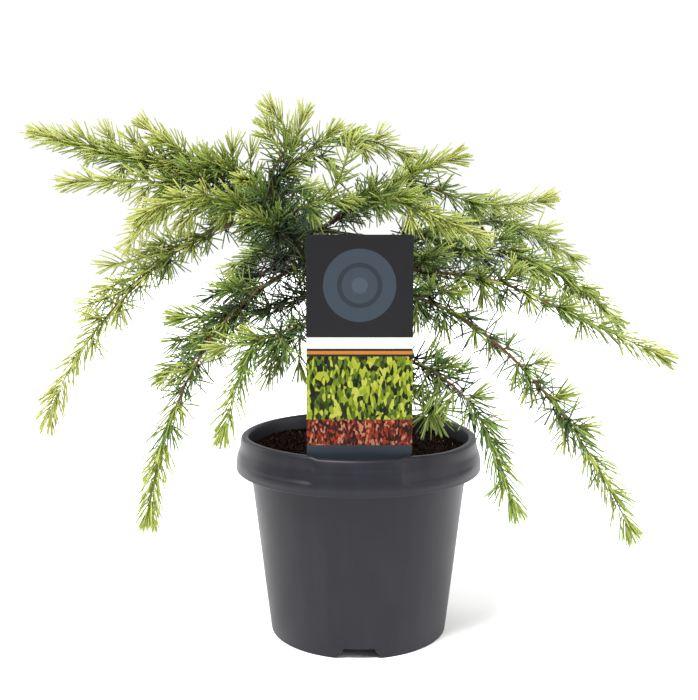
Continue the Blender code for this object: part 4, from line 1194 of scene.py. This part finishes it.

# %% [markdown]
# ## Bark
# Young cedar bark is thin and grey-brown, with fine upright cracks, and lies over last year's leaf cushions
# as over small tiles. On the real plant it is a skin. Here the relief is in the mesh, a few tenths of a
# millimetre deep, and the material only adds what is finer than that: the grain, and painted shade that
# darkens the cracks. Its colours are darker than young bark's own, as painted shade inside the crown.

# %% Bark finish
bark, tree, shader = plain_finish("young cedar bark", Roughness=0.82, Specular_IOR_Level=0.25)
place = add_node(tree, "ShaderNodeTexCoord").outputs["Object"]
FISSURE_MM, PLATE_MM = 1.4, 5.0
upright = add_node(tree, "ShaderNodeMapping", {"Vector": place, "Scale": (1.0, 1.0, 0.3)}).outputs[0]
fissures = add_node(
    tree, "ShaderNodeTexNoise", {"Vector": upright, "Scale": 1 / (FISSURE_MM * MM), "Detail": 4.0}
)
plates = add_node(tree, "ShaderNodeTexNoise", {"Vector": place, "Scale": 1 / (PLATE_MM * MM), "Detail": 2.0})
# Darkest where the fissures sink: painted shade in the cracks. The whole ramp is dark as painted shade inside
# the crown.
tone = add_node(
    tree, "ShaderNodeValToRGB", {"Fac": fissures.outputs[0]}, ((0.32, "#1C140E"), (0.62, "#5A4738"))
)
bark_tone_with_crack_shade = add_node(
    tree, "ShaderNodeMix", {0: plates.outputs[0], 6: tone.outputs[0], 7: linear("#33261D")}, data_type="RGBA"
)
tree.links.new(bark_tone_with_crack_shade.outputs[2], shader.inputs["Base Color"])
crack = add_node(
    tree, "ShaderNodeBump", {"Height": fissures.outputs[0], "Strength": 0.5, "Distance": 0.25 * MM}
)
tree.links.new(crack.outputs[0], shader.inputs["Normal"])
print("bark: fissures", FISSURE_MM, "mm, plates", PLATE_MM, "mm")


# %% Tubes with relief
def tube(path, radii, sides):
    """Points and faces of a closed tube. Radii are one to a ring, or one to each corner of each ring."""
    _, side, up = frames(path)
    turn = 2 * math.pi * np.arange(sides) / sides
    ring = np.cos(turn)[:, None] * side[:, None] + np.sin(turn)[:, None] * up[:, None]
    radii = np.asarray(radii, float).reshape(len(path), -1, 1)
    points = (path[:, None] + radii * ring).reshape(-1, 3)
    low = (np.arange(len(path) - 1)[:, None] * sides + np.arange(sides)).ravel()
    to_next = np.where(np.arange(sides) == sides - 1, 1 - sides, 1)
    beside = low + np.tile(to_next, len(path) - 1)
    faces = np.stack([low, beside, beside + sides, low + sides], axis=1).tolist()
    last = (len(path) - 1) * sides
    faces += [list(range(sides - 1, -1, -1)), list(range(last, last + sides))]
    return points, faces


def relief(run, radii, sides, seed, deep, long=9.0):
    """Radii for each corner: upright ridges that wander, with small swellings where shoots once stood."""
    shift = Vector((seed * 7.3, seed * 3.1, seed * 5.7))
    found = np.empty((len(run), sides))
    for j, turn in enumerate(2 * math.pi * np.arange(sides) / sides):
        for i, (along, radius) in enumerate(zip(run, radii)):
            spot = Vector((2.2 * math.cos(turn), 2.2 * math.sin(turn), along / long)) + shift
            ridge = 1 - abs(2 * noise.noise(spot)) + 0.4 * noise.noise(spot * 2.7)
            knot = max(0.0, noise.noise(Vector((math.cos(turn), math.sin(turn), along / 6)) + shift) - 0.25)
            found[i, j] = radius + deep * (ridge - 0.6) + 1.6 * deep * knot
    return found


# %% Trunk
TRUNK_SIDES, TRUNK_STEP, TRUNK_RELIEF = 36, 1.0, 0.34
FLARE_RIBS, FLARE_DEPTH, RIBS_TURNED = 5, 0.22, 0.6
TOP_NARROWS, TOP_NARROWING, FOOT_SUNK = 0.3, 5, 1.5
line = stretch(trunk_path, 0, trunk_run[-1], TRUNK_STEP)
run = lengths_along(line)
radii = np.interp(run, trunk_run, trunk_radii)
flare = ROOT_FLARE * np.exp(-run / ROOT_FLARE_HEIGHT)
closing = 1 - TOP_NARROWS * soft_step(run, run[-1] - TOP_NARROWING, run[-1])
grown = relief(run, (radii + flare) * closing, TRUNK_SIDES, 1, TRUNK_RELIEF)
turn = 2 * math.pi * np.arange(TRUNK_SIDES) / TRUNK_SIDES
grown *= 1 + FLARE_DEPTH * (flare / ROOT_FLARE)[:, None] * np.cos(FLARE_RIBS * turn + RIBS_TURNED)[None]
shape, faces = tube(line, grown, TRUNK_SIDES)
foot_ring = shape[:TRUNK_SIDES]
foot_ring[:, 2] = SOIL_TOP + GAP - FOOT_SUNK
trunk_bark = new_piece("trunk_bark", shape, faces, bark)
hand_over(trunk_bark, "bark", "trunk")

# %% Boughs
BOUGH_SIDES, BOUGH_STEP, BOUGH_RELIEF = 14, 1.2, 0.16
BOUGH_SHARE = 0.62  # a bough is this much of its solid's thickness
SWELLS, SWELLING = 0.9, 6  # at its root it swells by so much, over so many millimetres
tubes = []
for number, limb in enumerate(LIMBS):
    if limb.bough:
        line = stretch(paths[limb.name], 0, limb.bough, BOUGH_STEP)
        run = lengths_along(line)
        swelling = SWELLS * np.exp(-run / SWELLING)
        radii = BOUGH_SHARE * limb_radius(limb, run, lengths[limb.name]) + swelling
        tubes.append(tube(line, relief(run, radii, BOUGH_SIDES, number + 2, BOUGH_RELIEF), BOUGH_SIDES))
bough_bark = joined("bough_bark", tubes, bark)
hand_over(bough_bark, "bark", *[name for name in NODES if name.startswith("bough_")])

# %% [markdown]
# ## Stems inside the foliage
# Where needles stand, the bark is this year's or last year's: tan, turning brown, and knobbly with the
# cushions that carry the needles. These are hundreds of thin tubes in two plain colours, because a pattern
# would be lost on a stem a millimetre thick.

# %% Stems and twigs
FOLIAGE = [name for name in NODES if name.startswith("foliage_")]
YOUNG, OLD_SHARE = 82.0, 0.4  # this year's growth at a limb's end, and the least share that is older
INTO_BOUGH = 1.5  # how far a stem runs back into its bough
KNOBS, BUD = (0.86, 1.16), 0.4  # how a stem's radius varies, and how much of it is left at its end
STEM_SHARES = (0.66, 0.5, 0.7)  # of a solid's radius: at the start, at the young part and at the tip
older_wood = flat_finish("last year's stem", "#66513D", 0.8, 0.2)
young_wood = flat_finish("this year's stem", "#747A36", 0.65, 0.2)


def knobbly(path, thick, thin, sides, seed, step=1.9):
    """A tube whose rings swell and shrink a little, as over leaf cushions, and which ends in a bud."""
    line = stretch(path, 0, lengths_along(path)[-1], step)
    chance = np.random.default_rng(seed)
    radii = np.linspace(thick, thin, len(line))[:, None] * chance.uniform(*KNOBS, (len(line), sides))
    radii[-1] *= BUD
    return tube(line, radii, sides)


def young_from(length):
    """How far along a limb this year's growth begins."""
    return max(length - YOUNG, OLD_SHARE * length)


older, young = [], []
for number, limb in enumerate(LIMBS):
    path, length = paths[limb.name], lengths[limb.name]
    start, turns_young = max(limb.bough - INTO_BOUGH, 0.0), young_from(length)
    places = zip(STEM_SHARES, (start, turns_young, length))
    thick = [share * limb_radius(limb, place, length) for share, place in places]
    older.append(knobbly(stretch(path, start, turns_young, 2), thick[0], thick[1], 9, number))
    young.append(knobbly(stretch(path, turns_young - 1, length, 2), thick[1], thick[2], 8, number + 50))
for number, shoot in enumerate(shoots):
    group = older if shoot.kind == MAIN_TWIG and shoot.share < OLD_SHARE else young
    group.append(knobbly(shoot.path, shoot.thick, shoot.thin, 5, number + 100, step=2.4))
print("stems:", len(older), "older,", len(young), "young")
for name, group, look in (("older_stems", older, older_wood), ("young_stems", young, young_wood)):
    hand_over(joined(name, group, look), "bark", *FOLIAGE)

# %% [markdown]
# ## Needles
# A cedar carries its needles in two ways. This year's long shoots have them singly, in a spiral, leaning
# forward and closing to a brush at the tip. Older wood has them in rosettes on pegs a few millimetres long:
# some twenty on a real plant, and about seven here, where each is drawn a little wider than life so that a
# render can hold it. Particles or instances would draw this quickly, but a mesh made at once from arrays
# can be kept, and each needle can have its own lean, bend and length. The colour runs from pale gold to
# dark blue-green inside, partly the plant's own gold where the sun falls and partly painted light and shade,
# and is dealt out by spray: each colour is one piece. Needles that point up are also dealt paler colours
# than those that point down, as painted light and shade.

# %% One needle's form
RINGS_AT, RINGS_WIDE = np.array([0.0, 0.45, 0.9]), np.array([0.38, 0.5, 0.42])  # shares of length and width
NEEDLE_FACES = [[2, 1, 0]]
for low in (0, 3):
    NEEDLE_FACES += [[low + j, low + (j + 1) % 3, low + 3 + (j + 1) % 3, low + 3 + j] for j in range(3)]
NEEDLE_FACES += [[6 + j, 6 + (j + 1) % 3, 9] for j in range(3)]


def needle_points(roots, bends, tips, widths):
    """Three rings of three corners and a point for each needle, along its bent line."""
    centres = bent(roots[:, None], bends[:, None], tips[:, None], RINGS_AT[None, :, None])
    ahead = unit(tips - roots)
    steady = np.where(np.abs(ahead[:, 2:]) < 0.9, [(0.0, 0.0, 1.0)], [(0.0, 1.0, 0.0)])
    side = unit(np.cross(ahead, steady))
    up = np.cross(ahead, side)
    turn = 2 * math.pi * np.arange(3) / 3
    ring = np.cos(turn)[None, :, None] * side[:, None] + np.sin(turn)[None, :, None] * up[:, None]
    wide = widths[:, None, None, None] * RINGS_WIDE[None, :, None, None]
    body = (centres[:, :, None] + wide * ring[:, None]).reshape(len(roots), 9, 3)
    return np.concatenate([body, tips[:, None]], axis=1)


# %% Sprays of needles
SINGLES_A_MM, TWIG_SINGLES_A_MM = 1.1, 0.75
BRUSH_NEEDLES, LIMB_BRUSH, BRUSH_DEEP = 8, 20, 6.0
TIP_LEAN, LIMB_LEANS, TWIG_LEANS = 22, 18, 36  # degrees off the shoot at its tip, and how many more below
LEANS_OVER, SHORTER_OVER = (-4, 20), (0, 12)  # millimetres from the tip over which lean and length grow
SINGLES_VARY, TIP_LONG, REST_LONG = (0.84, 1.12), 0.82, 0.18  # shares of a needle's length
# needles that point up are dealt paler colours and those that point down darker: painted light and shade
CURLS_AHEAD, DROOPS, PAINTED_TOP_LIGHT = 0.25, -0.05, 0.1  # its end's turns forward and down, and gold on top
SPRAY_MM, TINT = 7, 0.05  # needles within so many millimetres share a tint, and how much tints differ
grown_needles = {"roots": [], "ways": [], "curls": [], "long": [], "gold": []}
spurs = []
GOLDEN = math.radians(SPIRAL)  # from one needle to the next round a shoot


def add_needles(roots, ways, curls, long, gold):
    for key, values in zip(grown_needles, (roots, ways, np.broadcast_to(curls, roots.shape), long, gold)):
        grown_needles[key].append(values)


def single_needles(path, low, high, radius, per_mm, golds, chance, leans=TWIG_LEANS, brush=BRUSH_NEEDLES):
    """Needles one by one in a spiral, leaning further forward towards the tip, which a brush closes."""
    brush = int(brush * chance.uniform(0.7, 1.2))
    count = int((high - low) * per_mm) + brush
    spread_out = chance.uniform(low, high, count - brush)
    along = np.sort(np.concatenate([spread_out, high - chance.uniform(0, BRUSH_DEEP, brush)]))
    roots, ahead, side, up = frames_at(path, along)
    turn = (GOLDEN * np.arange(count) + chance.normal(0, 0.3, count))[:, None]
    out = np.cos(turn) * side + np.sin(turn) * up
    left = high - along
    lean = np.radians(TIP_LEAN + leans * soft_step(left, *LEANS_OVER) + chance.normal(0, 8, count))[:, None]
    ways = np.cos(lean) * ahead + np.sin(lean) * out
    grown = TIP_LONG + REST_LONG * soft_step(left, *SHORTER_OVER)
    long = NEEDLE * grown * chance.uniform(*SINGLES_VARY, count)
    curls = CURLS_AHEAD * ahead + (0, 0, DROOPS)
    # needles that point up are dealt paler colours and those that point down darker: painted light and shade
    gold = golds[0] + (golds[1] - golds[0]) * (along - low) / (high - low) + PAINTED_TOP_LIGHT * out[:, 2]
    spray = chance.normal(0, TINT, int((high - low) / SPRAY_MM) + 2)
    gold += spray[((along - low) / SPRAY_MM).astype(int)] + chance.normal(0, TINT, count)
    add_needles(roots + 0.6 * radius * out, ways, curls, long, gold)


# %% Rosettes on pegs
ROSETTE_EVERY, ROSETTE_NEEDLES, SPUR_LONG, SPUR_RADII = 5.9, 9, 2.2, [1.0, 0.95, 0.7]
PEG_AHEAD, PEG_UP = 0.45, 0.12  # how much a peg leans along its stem and upwards
INNERMOST, OPENS_BY = 14, 68  # degrees off the peg for the innermost needle, and more for the outermost
WHORL_VARIES, WHORL_LONG = (0.6, 1.15), (0.8, 1.1)  # how its count and its needles' length vary


def rosette(root, ahead, out, gold, chance, many=ROSETTE_NEEDLES, longer=1.0):
    """A peg with a whorl of needles that opens to all sides."""
    axis = unit(PEG_AHEAD * ahead + out + (0, 0, PEG_UP))
    top = root + SPUR_LONG * axis
    spurs.append(tube(np.array([root, root + 0.6 * SPUR_LONG * axis, top]), SPUR_RADII, 6))
    count = int(many * chance.uniform(*WHORL_VARIES))
    number = np.arange(count)
    turn = (GOLDEN * number + chance.normal(0, 0.2, count))[:, None]
    open_by = INNERMOST + OPENS_BY * np.sqrt((number + 0.5) / count) + chance.normal(0, 5, count)
    open_by = np.radians(open_by)[:, None]
    side = unit(np.cross(axis, ahead + (0.01, 0.02, 0.03)))
    up = np.cross(axis, side)
    ways = np.cos(open_by) * axis + np.sin(open_by) * (np.cos(turn) * side + np.sin(turn) * up)
    long = NEEDLE * longer * chance.uniform(*WHORL_LONG, count)
    # needles that point up are dealt paler colours and those that point down darker: painted light and shade
    gold = gold + 0.08 * ways[:, 2] + chance.normal(0, TINT, count)
    roots = np.repeat(top[None] - 0.3 * axis, count, axis=0)
    add_needles(roots, ways, 0.1 * axis + (0, 0, -0.06), long, gold)


def rosettes(path, low, high, radius, golds, chance):
    """Rosettes in a spiral along older wood."""
    place, roll = low + chance.uniform(0, 4), chance.uniform(0, 2 * math.pi)
    while place < high:
        root, ahead, side, up = frames_at(path, place)
        out = math.cos(roll) * side + math.sin(roll) * up
        gold = golds[0] + (golds[1] - golds[0]) * (place - low) / (high - low) + chance.normal(0, 0.07)
        rosette(root + 0.7 * radius * out, ahead, out, gold, chance)
        place += ROSETTE_EVERY * chance.uniform(0.75, 1.3)
        roll += GOLDEN


# %% Dressing the limbs
# Gold runs from 0, the darkest green, to 1, the palest gold. On a limb of gold 0, rosettes go from the inner
# value to the outer one, and single needles from the young value to the tip's.
INNER_GOLD, OUTER_GOLD, YOUNG_GOLD, TIP_GOLD = 0.04, 0.38, 0.4, 0.8
INNER_SHARE = 0.7  # how much of the limb's own gold counts at its root
BARE_SHARE = {"right_rear": 0.27}  # the share of a limb, from its root, that has no needles in deep shade
FULL_TIPS = {"left_top": 1.3, "left_drop": 1.3, "left_level": 0.65}  # how dense the needles of a tip are
for number, limb in enumerate(LIMBS):
    chance = np.random.default_rng(1000 + number)
    path, length = paths[limb.name], lengths[limb.name]
    turns_young = young_from(length)
    radius = float(limb_radius(limb, 0.6 * length, length))
    first = max(0.15 * limb.bough + 6, BARE_SHARE.get(limb.name, 0) * length)
    golds = (INNER_GOLD + INNER_SHARE * limb.gold, OUTER_GOLD + limb.gold)
    rosettes(path, first, turns_young, radius, golds, chance)
    golds = (YOUNG_GOLD + limb.gold, TIP_GOLD + limb.gold)
    dense = SINGLES_A_MM * FULL_TIPS.get(limb.name, 1)
    single_needles(path, turns_young - 4, length, radius, dense, golds, chance, LIMB_LEANS, LIMB_BRUSH)
needle_sets = len(grown_needles["gold"])
print("rosettes and rows of single needles on the limbs:", needle_sets)

# %% Dressing the twigs
TWIG_GOLD, OUTWARD_GOLD, TWIG_TINT = 0.25, 0.46, 0.06  # at a limb's root, more at its tip, and how it varies
FACES_SUN = 0.1  # the long shoots of the outline stand free, so they are more golden than the twigs
for number, shoot in enumerate(shoots):
    if shoot.share < BARE_SHARE.get(shoot.limb.name, 0):
        continue
    chance = np.random.default_rng(2000 + number)
    length, gold = lengths_along(shoot.path)[-1], shoot.limb.gold
    root_gold = TWIG_GOLD + OUTWARD_GOLD * shoot.share + gold + chance.normal(0, TWIG_TINT)
    root_gold += FACES_SUN * (shoot.kind == LONG_SHOOT)
    low = 1.0
    if shoot.kind == MAIN_TWIG and shoot.share < 0.5 and length > 22:
        low = 0.5 * length
        rosettes(shoot.path, 4, low, shoot.thick, (root_gold - 0.08, root_gold), chance)
    golds = (root_gold, root_gold + 0.1 + 0.2 * min(1.0, length / 30))
    single_needles(shoot.path, low, length, shoot.thick, TWIG_SINGLES_A_MM, golds, chance)
print("and on the twigs:", len(grown_needles["gold"]) - needle_sets)

# %% Dressing the trunk
# Two runs of rosettes that overlap, so that they stand closer on the trunk's upper part
chance = np.random.default_rng(3000)
for starts_at, gold in ((75, 0.1), (110, 0.2)):
    rosettes(trunk_path, starts_at, trunk_run[-1] - 4, 3.0, (gold, 0.4), chance)
# The low front shoot ends in an open star of four full rosettes: the way that each faces, and how much longer
# than usual its needles are
STAR = ((0.1, -1.0, 0.2, 1.35), (-0.2, -0.6, -0.9, 1.25), (0.5, -0.7, 0.4, 1.2), (-0.8, -0.6, 0.0, 1.2))
STAR_AHEAD, STAR_GOLD, STAR_NEEDLES = np.array([0.3, -0.2, -0.5]), 0.6, 20
star_at = paths["front_low"][-1]
for *towards, longer in STAR:
    rosette(star_at, STAR_AHEAD, np.array(towards), STAR_GOLD, chance, STAR_NEEDLES, longer)
print("pegs of rosettes:", len(spurs))

# %% Needles within reach
REACH_PAST = 7.0  # millimetres that a needle may stand past the solids' box
roots, ways, curls = (np.concatenate(grown_needles[key]) for key in ("roots", "ways", "curls"))
long, gold = np.concatenate(grown_needles["long"]), np.concatenate(grown_needles["gold"])
bends = roots + 0.5 * long[:, None] * ways
tips = roots + long[:, None] * unit(ways + curls)
kept = outside_pot(bends) & outside_pot(tips)
low, high = np.array(cad_low) / MM - REACH_PAST, np.array(cad_high) / MM + REACH_PAST
kept &= np.all((tips > low) & (tips < high), axis=1)
print("needles:", len(roots), "kept:", int(kept.sum()))

# %% Needle colours
# Each is the skin of a living needle: a thin wax over green, dull enough that only its edges shine.
NEEDLE_COLOURS = (
    ("shade_green", "#172314"),
    ("deep_green", "#263A20"),
    ("forest_green", "#3F5833"),
    ("leaf_green", "#536D35"),
    ("grass_green", "#6A8237"),
    ("yellow_green", "#7F923F"),
    ("lime", "#8E9C44"),
    ("lime_gold", "#9BA54F"),
    ("pale_gold", "#A9AE5B"),
)
NEEDLE_WIDE = 1.25
chance = np.random.default_rng(77)
widths = NEEDLE_WIDE * chance.uniform(0.85, 1.12, len(roots))
shade = np.clip((gold * len(NEEDLE_COLOURS)).astype(int), 0, len(NEEDLE_COLOURS) - 1)
for number, (name, colour) in enumerate(NEEDLE_COLOURS):
    look = flat_finish("waxy needle " + name.replace("_", " "), colour, 0.4, 0.38)
    own = kept & (shade == number)
    if own.any():
        points = needle_points(roots[own], bends[own], tips[own], widths[own])
        starts = [number * points.shape[1] for number in range(len(points))]
        faces = [[start + corner for corner in face] for start in starts for face in NEEDLE_FACES]
        hand_over(new_piece(f"needles_{name}", points.reshape(-1, 3), faces, look), "needles", *FOLIAGE)
hand_over(joined("spur_pegs", spurs, older_wood), "bark")

# %% [markdown]
# ## Handing over
# The box of what shows is measured at the end, as the box of the solids was at the start.

# %% Sizes and the end
low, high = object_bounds()
